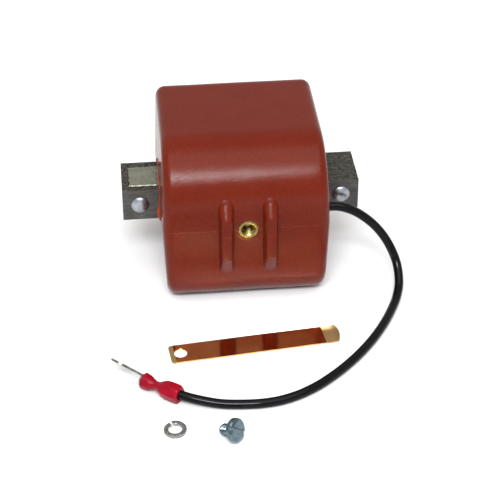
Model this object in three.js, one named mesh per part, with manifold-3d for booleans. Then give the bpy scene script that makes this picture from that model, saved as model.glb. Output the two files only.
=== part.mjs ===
// Magneto ignition coil: a laminated iron core, the windings round it, a one-piece moulded housing
// with two ribs and a brass high-voltage insert, a black primary lead with a ring terminal, and the
// loose hardware that carries the high voltage away: a contact strip, a lock washer and a screw.
//
// Millimetres. X runs along the core, -Y is the ribbed front, +Z is up. The origin is on the flat
// underside of the housing, straight below the middle of the core.
import * as THREE from 'three';
import { mergeVertices } from 'three/addons/utils/BufferGeometryUtils.js';
import Module from 'manifold-3d';

const wasm = await Module();
wasm.setup();

// ---------------------------------------------------------------- driving dimensions

// Core: flat plates stacked from front to back.
const CORE_LENGTH = 84;
const CORE_DEPTH = 19;
const CORE_HEIGHT = 12.1;
const CORE_Z = 31.3;
const LAMINATIONS = 24;
const LAMINATION_THICKNESS = 0.74;
const RIVET_X = 35.8;
const RIVET_HEAD_RADIUS = 3.15;
const RIVET_HEAD_HEIGHT = 1.25;
const RIVET_SHANK_RADIUS = 1.8;
const RIVET_HOLE_RADIUS = 1.95;

// Housing: its outline in the YZ plane, drafted both ways from the parting plane at the core's middle.
const HOUSING_X = 0.4;
const HOUSING_WIDTH = 58.4;
const FRONT_Y = -28.6;
const BACK_Y = 30.7;
const HOUSING_HEIGHT = 58.9;
const FRONT_TOP_RADIUS = 21.2;
const FRONT_BOTTOM_RADIUS = 11.5;
const BACK_TOP_RADIUS = 6.3;
const BACK_BOTTOM_RADIUS = 4.9;
const END_EDGE_RADIUS = 3.3;
const DRAFT = Math.tan(THREE.MathUtils.degToRad(2.2));
const CORE_CLEARANCE = 0.3;
const COLLAR_WALL = 1.1;
const COLLAR_HEIGHT = 0.7;

// Ribs that hold the contact strip, one each side of the insert.
const INSERT_X = 0.8;
const RIB_OFFSET = 7.7;
const RIB_HEIGHT = 4.5;
const RIB_BASE_WIDTH = 5.4;
const RIB_CREST_WIDTH = 3.6;
const RIB_CREST_LOW = 21.4;
const RIB_CREST_HIGH = 37.7;
const RIB_FOOT_LOW = 13.3;
const RIB_HIGH_SLOPE = 1.2;

// Brass insert and its thread (#8-32, drawn at its minor diameter).
const INSERT_RADIUS = 3.56;
const INSERT_LENGTH = 5.4;
const KNURL_TEETH = 30;
const KNURL_DEPTH = 0.18;
const THREAD_BORE_RADIUS = 1.75;
const THREAD_BORE_DEPTH = 4.6;
const COUNTERSINK_RADIUS = 2.5;

// Windings, from the core outwards. Each layer is a rounded rectangle round the one inside it.
const LAYER_GAP = 0.15;
const FORM_CLEARANCE = 0.35;
const FORM_WALL = 1;
const PRIMARY_BUILD = 3;
const SECONDARY_BUILD = 6;
const PAPER_WALL = 0.5;
const CAVITY_CLEARANCE = 0.35;
const FORM_HALF_LENGTH = 25.6;
const PRIMARY_HALF_LENGTH = 22;
const INTERLAYER_HALF_LENGTH = 22.5;
const SECONDARY_HALF_LENGTH = 20;
const WRAP_HALF_LENGTH = 21;
const CAVITY_HALF_LENGTH = 27.2;

// Ground foil on top of the core at the left end, turned up inside the housing.
const FOIL_THICKNESS = 0.25;
const FOIL_WIDTH = 12.6;
const FOIL_Y = -0.8;
const FOIL_OUTER_X = -39.3;
const FOIL_TAB_X = -26.9;
const FOIL_TAB_TOP = 46;

// Primary lead: 3.2 mm over its jacket.
const LEAD_RADIUS = 1.6;
const LEAD_SIDES = 8;
const LEAD_STEPS = 64;
const LEAD_CORE_RADIUS = 0.6;
const LEAD_Y = -17;
const LEAD_EXIT_X = 29.6;
const LEAD_HOLE_RADIUS = 1.95;
const SPLICE_RADIUS = 1.2;

// Route of the free lead: out of the right end, down to the surface, round the front, into the ring terminal.
const LEAD_ROUTE = [
  [29.6, -17, 31.3], [34, -17, 31], [38.9, -17.2, 29.2], [43.8, -17.5, 25.7], [48.6, -17.5, 20.4],
  [52.6, -18.7, 14.1], [54.9, -22.2, 8.5], [55, -27.6, 4.2], [53.2, -33.6, 2.1], [50.4, -39.9, 1.65],
  [46.6, -47.3, 1.65], [41.4, -55.6, 1.65], [35.9, -62.8, 1.65], [30.2, -69.1, 1.65], [24.3, -74.6, 1.65],
  [18.2, -79.3, 1.65], [12, -82.8, 1.65], [5.6, -85, 1.65], [-0.7, -85.8, 1.65], [-7, -85.6, 1.65],
  [-13.4, -84.9, 1.8], [-19.7, -83.4, 2.4], [-25.4, -81.3, 3], [-30.4, -78.1, 3.1],
];

// Ring terminal in its own frame: +X runs from the wire to the ring, +Z is square to the flat tongue.
const TERMINAL_PLACE = [-26.4, -81.1, 3.1];
const TERMINAL_HEADING = THREE.MathUtils.degToRad(143.2);
const TERMINAL_ROLL = THREE.MathUtils.degToRad(47.5);
const SLEEVE_OUTLINE = [[0.4, 2.75], [1.5, 3], [6.3, 2.85], [9, 1.8], [10.2, 1.75], [12.3, 2.45], [14.7, 2.8]];
const SLEEVE_WALL = 0.45;
const BARREL_GAP = 0.12;
const BARREL_WALL = 0.35;
const TONGUE_THICKNESS = 0.8;
const TONGUE_WIDTH = 4.2;
const BARREL_NOSE = 0.7;
const TONGUE_Z = 1.45;
const TONGUE_TILT = THREE.MathUtils.degToRad(5);
const RING_X = 25;
const RING_RADIUS = 3.9;
const STUD_HOLE_RADIUS = 2.15;

// Contact strip, flat on the surface, with a rounded tip that turns up.
const STRIP_PLACE = [-28.3, -60.9, 0];
const STRIP_HEADING = 0.11;
const STRIP_LENGTH = 59.4;
const STRIP_WIDTH = 9.5;
const STRIP_THICKNESS = 0.4;
const STRIP_HOLE_X = 3.7;
const STRIP_HOLE_RADIUS = 2.2;
const STRIP_TIP_LENGTH = 2.4;
const STRIP_TIP_RISE = 0.7;
const STRIP_TIP_BULGE = 1;

// Split lock washer and slotted pan-head screw, both for the #8 thread.
const WASHER_PLACE = [-29.2, -94.7, 0];
const WASHER_OUTER = 3.7;
const WASHER_INNER = 2.3;
const WASHER_THICKNESS = 1;
const WASHER_SPLIT = THREE.MathUtils.degToRad(10);
const WASHER_SPLIT_HEADING = THREE.MathUtils.degToRad(108);
const WASHER_LIFT = 0.35;
const SCREW_TIP = [-14.4, -97.5];
const SCREW_HEADING = THREE.MathUtils.degToRad(-37);
const SCREW_RADIUS = 2.05;
const SCREW_LENGTH = 4.8;
const SCREW_HEAD_RADIUS = 4;
const SCREW_HEAD_EDGE = 1.1;
const SCREW_HEAD_HEIGHT = 2.1;
const SCREW_HEAD_FILLET = 0.1;
const SLOT_WIDTH = 1.2;
const SLOT_DEPTH = 1.1;
const SLOT_ANGLE = THREE.MathUtils.degToRad(-46);

// ---------------------------------------------------------------- materials

function finish(color, roughness, metalness) {
  return new THREE.MeshStandardMaterial({ color, roughness, metalness });
}

const FINISH = {
  housing: finish(0x82392b, 0.42, 0),
  lamination: finish(0x55544b, 0.5, 0.9),
  rivet: finish(0xd6d8dc, 0.18, 1),
  foil: finish(0xb9bcbd, 0.4, 0.9),
  brass: finish(0xc9a35a, 0.3, 1),
  copper: finish(0xb06a3c, 0.35, 1),
  paper: finish(0xb59a6a, 0.85, 0),
  form: finish(0x6b4a2c, 0.8, 0),
  jacket: finish(0x0b0b0d, 0.25, 0),
  sleeve: finish(0xa80d22, 0.4, 0),
  tinned: finish(0xc6c9cc, 0.3, 1),
  bronze: finish(0xb07a45, 0.2, 1),
  zinc: finish(0xc3c9cf, 0.3, 1),
};

// ---------------------------------------------------------------- solids and how they join

// A closed geometry as a manifold solid: shared vertices merged, triangles with no area left out.
function solid(geometry) {
  const bare = geometry.clone();
  bare.deleteAttribute('normal');
  bare.deleteAttribute('uv');
  const merged = mergeVertices(bare, 1e-4);
  const corners = merged.index.array;
  const triVerts = [];
  for (let i = 0; i < corners.length; i += 3) {
    const [a, b, c] = [corners[i], corners[i + 1], corners[i + 2]];
    if (a !== b && b !== c && c !== a) triVerts.push(a, b, c);
  }
  return new wasm.Manifold(new wasm.Mesh({
    numProp: 3,
    vertProperties: new Float32Array(merged.attributes.position.array),
    triVerts: new Uint32Array(triVerts),
  }));
}

function geometryOf(manifold) {
  const { vertProperties, triVerts } = manifold.getMesh();
  const geometry = new THREE.BufferGeometry();
  geometry.setAttribute('position', new THREE.BufferAttribute(vertProperties, 3));
  geometry.setIndex(new THREE.BufferAttribute(triVerts, 1));
  geometry.computeVertexNormals();
  return geometry;
}

function cut(geometry, ...cutters) {
  return geometryOf(cutters.reduce((body, cutter) => body.subtract(solid(cutter)), solid(geometry)));
}

function join(...geometries) {
  return geometryOf(geometries.map(solid).reduce((body, other) => body.add(other)));
}

function common(a, b) {
  return geometryOf(solid(a).intersect(solid(b)));
}

// Turns a shape extruded along +Z so that it is drawn in the YZ plane and extruded along +X.
function alongX(geometry, x) {
  const turn = new THREE.Matrix4().makeBasis(
    new THREE.Vector3(0, 1, 0), new THREE.Vector3(0, 0, 1), new THREE.Vector3(1, 0, 0));
  return geometry.applyMatrix4(turn).translate(x, 0, 0);
}

// Turns a shape extruded along +Z so that it is drawn in the XZ plane and extruded along -Y.
function alongFront(geometry, y) {
  const turn = new THREE.Matrix4().makeBasis(
    new THREE.Vector3(1, 0, 0), new THREE.Vector3(0, 0, 1), new THREE.Vector3(0, -1, 0));
  return geometry.applyMatrix4(turn).translate(0, y, 0);
}

function extrude(shape, depth, curveSegments = 6) {
  return new THREE.ExtrudeGeometry(shape, { depth, bevelEnabled: false, curveSegments });
}

function polygon(points) {
  return new THREE.Shape(points.map(([x, y]) => new THREE.Vector2(x, y)));
}

function disc(radius, x = 0, y = 0) {
  return new THREE.Shape().absarc(x, y, radius, 0, 2 * Math.PI);
}

function box(low, high) {
  const size = high.map((value, axis) => value - low[axis]);
  const middle = high.map((value, axis) => (value + low[axis]) / 2);
  return new THREE.BoxGeometry(...size).translate(...middle);
}

// A round bar from one point to another along a smooth path, its ends square to the path.
function bar(points, radius, sides, steps) {
  const path = new THREE.CatmullRomCurve3(points.map((p) => new THREE.Vector3(...p)), false, 'centripetal');
  const section = polygon(Array.from({ length: sides }, (_, i) => {
    const angle = (2 * Math.PI * i) / sides;
    return [radius * Math.cos(angle), radius * Math.sin(angle)];
  }));
  return new THREE.ExtrudeGeometry(section, { steps, bevelEnabled: false, extrudePath: path });
}

function pin(from, to, radius, sides = 8) {
  return bar([from, to], radius, sides, 1);
}

function lathe(points, segments = 24) {
  return new THREE.LatheGeometry(points.map(([r, h]) => new THREE.Vector2(r, h)), segments);
}

function piece(name, geometry, material) {
  const mesh = new THREE.Mesh(geometry, material);
  mesh.name = name;
  return mesh;
}

// ---------------------------------------------------------------- core

function laminations() {
  const pitch = CORE_DEPTH / LAMINATIONS;
  const plate = polygon([
    [-CORE_LENGTH / 2, -CORE_HEIGHT / 2], [CORE_LENGTH / 2, -CORE_HEIGHT / 2],
    [CORE_LENGTH / 2, CORE_HEIGHT / 2], [-CORE_LENGTH / 2, CORE_HEIGHT / 2],
  ]);
  for (const side of [-1, 1]) {
    plate.holes.push(new THREE.Path().absarc(side * RIVET_X, 0, RIVET_HOLE_RADIUS, 0, 2 * Math.PI, true));
  }
  return Array.from({ length: LAMINATIONS }, (_, i) => {
    const geometry = alongFront(extrude(plate, LAMINATION_THICKNESS), -CORE_DEPTH / 2 + LAMINATION_THICKNESS);
    geometry.translate(0, i * pitch, CORE_Z);
    return piece(`core_lamination_${String(i + 1).padStart(2, '0')}`, geometry, FINISH.lamination);
  });
}

// Points over a rivet's domed head, from its rim to its middle, as radius and height above the plate.
function dome(radius, height, count) {
  return Array.from({ length: count + 1 }, (_, i) => {
    const angle = (Math.PI / 2) * (i / count);
    return [radius * Math.cos(angle), height * Math.sin(angle)];
  });
}

function rivet(name, x) {
  const gap = 0.05;
  const plateBack = CORE_DEPTH / 2 - CORE_DEPTH / LAMINATIONS + LAMINATION_THICKNESS + gap;
  const plateFront = CORE_DEPTH / 2 + gap;
  const head = dome(RIVET_HEAD_RADIUS, RIVET_HEAD_HEIGHT, 4);
  const profile = [
    ...head.map(([r, h]) => [r, -plateBack - h]).reverse(),
    [RIVET_SHANK_RADIUS, -plateBack],
    [RIVET_SHANK_RADIUS, plateFront],
    ...head.map(([r, h]) => [r, plateFront + h]),
  ];
  profile[0][0] = 0;
  profile.at(-1)[0] = 0;
  return piece(name, lathe(profile, 20).rotateX(Math.PI).translate(x, 0, CORE_Z), FINISH.rivet);
}

// The foil lies on the core's top and turns up inside the housing, where the windings' earth ends meet it.
function groundFoil() {
  const bottom = CORE_Z + CORE_HEIGHT / 2 + 0.05;
  const half = FOIL_WIDTH / 2;
  const [near, far] = [FOIL_Y - half, FOIL_Y + half];
  const strap = box([FOIL_OUTER_X, near, bottom], [FOIL_TAB_X, far, bottom + FOIL_THICKNESS]);
  const tab = box([FOIL_TAB_X - FOIL_THICKNESS, near, bottom], [FOIL_TAB_X, far, FOIL_TAB_TOP]);
  return piece('ground_foil', join(strap, tab), FINISH.foil);
}

// ---------------------------------------------------------------- windings

// A rounded rectangle round the core's section, `out` millimetres outside it.
function coreOutline(out, kind = THREE.Shape) {
  const y = CORE_DEPTH / 2 + out;
  const z = CORE_HEIGHT / 2 + out;
  const r = Math.max(0.6, out + 0.6);
  const outline = new kind();
  outline.moveTo(y, -z + r);
  outline.absarc(y - r, z - r, r, 0, Math.PI / 2);
  outline.absarc(-y + r, z - r, r, Math.PI / 2, Math.PI);
  outline.absarc(-y + r, -z + r, r, Math.PI, 1.5 * Math.PI);
  outline.absarc(y - r, -z + r, r, 1.5 * Math.PI, 2 * Math.PI);
  return outline;
}

function layer(inner, wall, halfLength) {
  const section = coreOutline(inner + wall);
  section.holes.push(coreOutline(inner, THREE.Path));
  return alongX(extrude(section, 2 * halfLength, 4), -halfLength).translate(0, 0, CORE_Z);
}

// How far outside the core each layer starts.
const FORM_IN = FORM_CLEARANCE;
const PRIMARY_IN = FORM_IN + FORM_WALL + LAYER_GAP;
const INTERLAYER_IN = PRIMARY_IN + PRIMARY_BUILD + LAYER_GAP;
const SECONDARY_IN = INTERLAYER_IN + PAPER_WALL + LAYER_GAP;
const WRAP_IN = SECONDARY_IN + SECONDARY_BUILD + LAYER_GAP;
const CAVITY_OUT = WRAP_IN + PAPER_WALL + CAVITY_CLEARANCE;
const WRAP_FRONT_Y = -(CORE_DEPTH / 2 + WRAP_IN + PAPER_WALL);
const INSERT_BACK_Y = FRONT_Y + INSERT_LENGTH;

function windings() {
  const wireHole = pin([INSERT_X, WRAP_FRONT_Y - 1, CORE_Z], [INSERT_X, WRAP_FRONT_Y + 1, CORE_Z], 0.7);
  return [
    piece('coil_form', layer(FORM_IN, FORM_WALL, FORM_HALF_LENGTH), FINISH.form),
    piece('primary_winding', layer(PRIMARY_IN, PRIMARY_BUILD, PRIMARY_HALF_LENGTH), FINISH.copper),
    piece('interwinding_insulation', layer(INTERLAYER_IN, PAPER_WALL, INTERLAYER_HALF_LENGTH), FINISH.paper),
    piece('secondary_winding', layer(SECONDARY_IN, SECONDARY_BUILD, SECONDARY_HALF_LENGTH), FINISH.copper),
    piece('outer_insulation_wrap', cut(layer(WRAP_IN, PAPER_WALL, WRAP_HALF_LENGTH), wireHole), FINISH.paper),
  ];
}

// The four wires that join the windings to the foil, the lead and the insert.
function innerWires() {
  const gap = 0.1;
  const tabFace = FOIL_TAB_X + gap;
  const top = CORE_Z + CORE_HEIGHT / 2;
  const primaryMiddle = PRIMARY_IN + PRIMARY_BUILD / 2;
  const secondaryFirstTurn = SECONDARY_IN + 2;
  const primaryFront = -(CORE_DEPTH / 2 + primaryMiddle);
  const end = PRIMARY_HALF_LENGTH + 1.5;
  const secondaryFront = -(CORE_DEPTH / 2 + SECONDARY_IN + SECONDARY_BUILD);
  const primaryEnd = [
    [PRIMARY_HALF_LENGTH + gap, primaryFront, CORE_Z], [end - 0.4, primaryFront - 0.15, CORE_Z],
    [end, primaryFront - 0.8, CORE_Z], [end, LEAD_Y + SPLICE_RADIUS + gap, CORE_Z],
  ];
  return [
    piece('primary_start_wire', pin([tabFace, FOIL_Y, top + primaryMiddle],
      [-PRIMARY_HALF_LENGTH - gap, FOIL_Y, top + primaryMiddle], 0.4), FINISH.copper),
    piece('secondary_start_wire', pin([tabFace, FOIL_Y, top + secondaryFirstTurn],
      [-SECONDARY_HALF_LENGTH - gap, FOIL_Y, top + secondaryFirstTurn], 0.2), FINISH.copper),
    piece('primary_end_wire', bar(primaryEnd, 0.4, 8, 6), FINISH.copper),
    piece('high_voltage_wire', pin([INSERT_X, secondaryFront - gap, CORE_Z],
      [INSERT_X, INSERT_BACK_Y + gap, CORE_Z], 0.4), FINISH.copper),
  ];
}

// ---------------------------------------------------------------- housing

// The housing's outline at the parting plane as points with outward normals, counter-clockwise seen from +X.
function housingOutline() {
  const points = [];
  function corner(y, z, r, fromDegrees, steps) {
    for (let i = 0; i <= steps; i += 1) {
      const angle = THREE.MathUtils.degToRad(fromDegrees + (90 * i) / steps);
      const normal = [Math.cos(angle), Math.sin(angle)];
      points.push({ y: y + r * normal[0], z: z + r * normal[1], normal });
    }
  }
  corner(BACK_Y - BACK_BOTTOM_RADIUS, BACK_BOTTOM_RADIUS, BACK_BOTTOM_RADIUS, -90, 4);
  points.push({ y: BACK_Y, z: CORE_Z, normal: [1, 0] });
  corner(BACK_Y - BACK_TOP_RADIUS, HOUSING_HEIGHT - BACK_TOP_RADIUS, BACK_TOP_RADIUS, 0, 4);
  corner(FRONT_Y + FRONT_TOP_RADIUS, HOUSING_HEIGHT - FRONT_TOP_RADIUS, FRONT_TOP_RADIUS, 90, 9);
  points.push({ y: FRONT_Y, z: CORE_Z, normal: [-1, 0] });
  corner(FRONT_Y + FRONT_BOTTOM_RADIUS, FRONT_BOTTOM_RADIUS, FRONT_BOTTOM_RADIUS, 180, 6);
  return points;
}

// Skins rings of points, given from the first end to the last and counter-clockwise seen from
// beyond the last, and closes both ends round their middle points.
function loft(rings, startMiddle, endMiddle) {
  const corners = [];
  const size = rings[0].length;
  for (let k = 0; k + 1 < rings.length; k += 1) {
    for (let i = 0; i < size; i += 1) {
      const j = (i + 1) % size;
      corners.push(rings[k][i], rings[k][j], rings[k + 1][j], rings[k][i], rings[k + 1][j], rings[k + 1][i]);
    }
  }
  for (let i = 0; i < size; i += 1) {
    const j = (i + 1) % size;
    corners.push(startMiddle, rings[0][j], rings[0][i]);
    corners.push(endMiddle, rings.at(-1)[i], rings.at(-1)[j]);
  }
  const geometry = new THREE.BufferGeometry();
  geometry.setAttribute('position', new THREE.Float32BufferAttribute(corners.flat(), 3));
  return geometry;
}

function housingBlock() {
  const outline = housingOutline();
  const steps = 4;
  function ring(side, step) {
    const angle = (Math.PI / 2) * (step / steps);
    const inset = END_EDGE_RADIUS * (1 - Math.cos(angle));
    const shortfall = END_EDGE_RADIUS * (1 - Math.sin(angle));
    return outline.map(({ y, z, normal }) => {
      const edgeZ = z - normal[1] * inset;
      const half = HOUSING_WIDTH / 2 - DRAFT * Math.abs(edgeZ - CORE_Z) - shortfall;
      return [HOUSING_X + side * half, y - normal[0] * inset, edgeZ];
    });
  }
  const order = Array.from({ length: steps + 1 }, (_, i) => i);
  const rings = [...order.toReversed().map((i) => ring(-1, i)), ...order.map((i) => ring(1, i))];
  const middle = (FRONT_Y + BACK_Y) / 2;
  const endMiddle = (side) => [HOUSING_X + side * (HOUSING_WIDTH / 2), middle, CORE_Z];
  return loft(rings, endMiddle(-1), endMiddle(1));
}

// A rib: wide at the front face, narrower at its crest, sloping away above and below.
function rib(x) {
  const sunk = 3.6;
  const lowSlope = (RIB_CREST_LOW - RIB_FOOT_LOW) / RIB_HEIGHT;
  const widthSlope = (RIB_BASE_WIDTH - RIB_CREST_WIDTH) / RIB_HEIGHT;
  const depth = RIB_HEIGHT + sunk;
  function ring(y, half, low, high) {
    return [[x + half, y, low], [x + half, y, high], [x - half, y, high], [x - half, y, low]];
  }
  const crest = ring(FRONT_Y - RIB_HEIGHT, RIB_CREST_WIDTH / 2, RIB_CREST_LOW, RIB_CREST_HIGH);
  const root = ring(FRONT_Y + sunk, (RIB_CREST_WIDTH + widthSlope * depth) / 2,
    RIB_CREST_LOW - lowSlope * depth, RIB_CREST_HIGH + RIB_HIGH_SLOPE * depth);
  const middleZ = (RIB_CREST_LOW + RIB_CREST_HIGH) / 2;
  return loft([root, crest], [x, FRONT_Y + sunk, middleZ], [x, FRONT_Y - RIB_HEIGHT, middleZ]);
}

// A low lip of flash round the core where it leaves each end of the housing.
function collar(side) {
  const y = CORE_DEPTH / 2 + CORE_CLEARANCE + COLLAR_WALL;
  const z = CORE_HEIGHT / 2 + CORE_CLEARANCE + COLLAR_WALL;
  const face = HOUSING_X + side * (HOUSING_WIDTH / 2);
  const ends = [face - side * 1.5, face + side * COLLAR_HEIGHT].sort((a, b) => a - b);
  return box([ends[0], -y, CORE_Z - z], [ends[1], y, CORE_Z + z]);
}

function housing() {
  const cavity = alongX(extrude(coreOutline(CAVITY_OUT), 2 * CAVITY_HALF_LENGTH, 4), -CAVITY_HALF_LENGTH)
    .translate(0, 0, CORE_Z);
  const reach = CORE_LENGTH / 2;
  const holeY = CORE_DEPTH / 2 + CORE_CLEARANCE;
  const holeZ = CORE_HEIGHT / 2 + CORE_CLEARANCE;
  const coreHole = box([-reach, -holeY, CORE_Z - holeZ], [reach, holeY, CORE_Z + holeZ]);
  const foilHalf = FOIL_WIDTH / 2 + CORE_CLEARANCE;
  const foilHole = box([-reach, FOIL_Y - foilHalf, CORE_Z],
    [-CAVITY_HALF_LENGTH + 1, FOIL_Y + foilHalf, CORE_Z + holeZ + FOIL_THICKNESS]);
  const leadHole = pin([CAVITY_HALF_LENGTH - 1, LEAD_Y, CORE_Z], [LEAD_EXIT_X + 2, LEAD_Y, CORE_Z],
    LEAD_HOLE_RADIUS, 16);
  const insertHole = alongFront(extrude(disc(INSERT_RADIUS + 0.1, INSERT_X, CORE_Z), INSERT_LENGTH + 1, 16),
    INSERT_BACK_Y + 0.1);
  const wireHole = pin([INSERT_X, INSERT_BACK_Y - 0.5, CORE_Z], [INSERT_X, WRAP_FRONT_Y + 0.5, CORE_Z], 0.7);
  const ribs = [rib(INSERT_X - RIB_OFFSET), rib(INSERT_X + RIB_OFFSET)];
  const body = join(housingBlock(), ...ribs, collar(-1), collar(1));
  return piece('moulded_housing', cut(body, cavity, coreHole, foilHole, leadHole, insertHole, wireHole),
    FINISH.housing);
}

// The insert: a knurled brass slug with a countersunk, threaded blind bore that opens at the front.
function insert() {
  const teeth = Array.from({ length: 2 * KNURL_TEETH }, (_, i) => {
    const angle = (Math.PI * i) / KNURL_TEETH;
    const r = INSERT_RADIUS - (i % 2) * KNURL_DEPTH;
    return [INSERT_X + r * Math.cos(angle), CORE_Z + r * Math.sin(angle)];
  });
  const slug = alongFront(extrude(polygon(teeth), INSERT_LENGTH), INSERT_BACK_Y);
  const sink = COUNTERSINK_RADIUS - THREAD_BORE_RADIUS;
  const bore = lathe([
    [0, -THREAD_BORE_DEPTH], [THREAD_BORE_RADIUS, -THREAD_BORE_DEPTH], [THREAD_BORE_RADIUS, -sink],
    [COUNTERSINK_RADIUS + 0.5, 0.5], [0, 0.5],
  ]).rotateX(Math.PI).translate(INSERT_X, FRONT_Y, CORE_Z);
  return piece('high_voltage_insert', cut(slug, bore), FINISH.brass);
}

// ---------------------------------------------------------------- primary lead

// Inside the housing: the end of the jacket, its bare strands, and the ferrule that joins them to
// the primary.
function leadTail() {
  const start = WRAP_HALF_LENGTH + 0.6;
  const jacketStart = start + 3.3;
  const hole = LEAD_CORE_RADIUS + 0.12;
  const tube = (from, to, outer, inner) => cut(
    pin([from, LEAD_Y, CORE_Z], [to, LEAD_Y, CORE_Z], outer, 12),
    pin([from - 1, LEAD_Y, CORE_Z], [to + 1, LEAD_Y, CORE_Z], inner, 12));
  return [
    piece('lead_tail', tube(jacketStart, LEAD_EXIT_X - 0.3, LEAD_RADIUS, hole), FINISH.jacket),
    piece('lead_inner_strands', pin([start + 0.2, LEAD_Y, CORE_Z], [LEAD_EXIT_X - 0.6, LEAD_Y, CORE_Z],
      LEAD_CORE_RADIUS, 12), FINISH.copper),
    piece('splice_ferrule', tube(start, jacketStart - 0.3, SPLICE_RADIUS, hole), FINISH.brass),
  ];
}

function lead() {
  return piece('primary_lead', bar(LEAD_ROUTE, LEAD_RADIUS, LEAD_SIDES, LEAD_STEPS), FINISH.jacket);
}

// ---------------------------------------------------------------- ring terminal

// A tube round +X: its outer radius is given at each x, and its wall is the same all along.
function tubeRoundX(outline, wall) {
  const outer = outline.map(([x, r]) => [r, x]);
  const inner = outline.map(([x, r]) => [r - wall, x]).reverse();
  return lathe([...outer, ...inner, outer[0]], 20).rotateZ(-Math.PI / 2);
}

function tongue(start) {
  const plan = new THREE.Shape();
  const half = TONGUE_WIDTH / 2;
  const neck = RING_X - Math.sqrt(RING_RADIUS ** 2 - half ** 2);
  const meet = Math.asin(half / RING_RADIUS);
  plan.moveTo(start, -half);
  plan.lineTo(neck, -half);
  plan.absarc(RING_X, 0, RING_RADIUS, Math.PI + meet, 3 * Math.PI - meet);
  plan.lineTo(start, half);
  plan.holes.push(new THREE.Path().absarc(RING_X, 0, STUD_HOLE_RADIUS, 0, 2 * Math.PI, true));
  return extrude(plan, TONGUE_THICKNESS, 10)
    .translate(-start, 0, TONGUE_Z - TONGUE_THICKNESS / 2)
    .rotateY(-TONGUE_TILT)
    .translate(start, 0, 0);
}

function ringTerminal() {
  const inset = SLEEVE_WALL + BARREL_GAP;
  const gripped = SLEEVE_OUTLINE.slice(3).map(([x, r]) => [x, r - inset]);
  const [front, mouth] = gripped.at(-1);
  const nose = front + BARREL_NOSE;
  const barrel = tubeRoundX([...gripped, [nose, mouth]], BARREL_WALL);
  const group = new THREE.Group();
  group.position.set(...TERMINAL_PLACE);
  group.rotation.set(TERMINAL_ROLL, 0, TERMINAL_HEADING, 'ZYX');
  const strandRadius = SLEEVE_OUTLINE[4][1] - inset - BARREL_WALL - 0.1;
  const strands = pin([gripped[0][0] - 1.5, 0, 0], [nose - 0.2, 0, 0], strandRadius, 10);
  group.add(
    piece('terminal_sleeve', tubeRoundX(SLEEVE_OUTLINE, SLEEVE_WALL), FINISH.sleeve),
    piece('ring_terminal', join(barrel, tongue(front + 0.35)), FINISH.tinned),
    piece('terminal_strands', strands, FINISH.copper),
  );
  return group;
}

// ---------------------------------------------------------------- loose hardware

function contactStrip() {
  const bend = STRIP_LENGTH - STRIP_TIP_LENGTH;
  const t = STRIP_THICKNESS;
  const side = polygon([
    [0, 0], [bend, 0], [STRIP_LENGTH - 0.9, STRIP_TIP_RISE * 0.4], [STRIP_LENGTH + 0.2, STRIP_TIP_RISE],
    [STRIP_LENGTH, STRIP_TIP_RISE + t], [STRIP_LENGTH - 1, STRIP_TIP_RISE * 0.4 + t], [bend - 0.1, t], [0, t],
  ]);
  const sheet = extrude(side, STRIP_WIDTH).rotateX(Math.PI / 2).translate(0, STRIP_WIDTH, 0);
  const plan = new THREE.Shape();
  const halfWidth = STRIP_WIDTH / 2;
  const tipRadius = (halfWidth ** 2 + STRIP_TIP_BULGE ** 2) / (2 * STRIP_TIP_BULGE);
  const tipAngle = Math.asin(halfWidth / tipRadius);
  plan.moveTo(0, 0.8);
  plan.lineTo(0.8, 0);
  plan.lineTo(STRIP_LENGTH - STRIP_TIP_BULGE, 0);
  plan.absarc(STRIP_LENGTH - tipRadius, halfWidth, tipRadius, -tipAngle, tipAngle);
  plan.lineTo(0.8, STRIP_WIDTH);
  plan.lineTo(0, STRIP_WIDTH - 0.8);
  plan.holes.push(new THREE.Path().absarc(STRIP_HOLE_X, halfWidth, STRIP_HOLE_RADIUS, 0, 2 * Math.PI, true));
  const stamped = common(sheet, extrude(plan, 4, 8).translate(0, 0, -1));
  const strip = piece('contact_strip', stamped, FINISH.bronze);
  strip.position.set(...STRIP_PLACE);
  strip.rotation.z = STRIP_HEADING;
  return strip;
}

// A ring with a narrow split whose ends stand a little apart in height.
function lockWasher() {
  const steps = 30;
  const sweep = 2 * Math.PI - WASHER_SPLIT;
  const start = WASHER_SPLIT_HEADING + WASHER_SPLIT / 2;
  const rings = Array.from({ length: steps + 1 }, (_, i) => {
    const angle = start + (sweep * i) / steps;
    const rise = (WASHER_LIFT * i) / steps;
    const point = (r, z) => [r * Math.cos(angle), r * Math.sin(angle), z + rise];
    return [
      point(WASHER_INNER, 0), point(WASHER_INNER, WASHER_THICKNESS),
      point(WASHER_OUTER, WASHER_THICKNESS), point(WASHER_OUTER, 0),
    ];
  });
  const middle = (ring) => ring[0].map((_, axis) => (ring[0][axis] + ring[2][axis]) / 2);
  const washer = piece('lock_washer', loft(rings, middle(rings[0]), middle(rings.at(-1))), FINISH.zinc);
  washer.position.set(...WASHER_PLACE);
  return washer;
}

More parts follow.
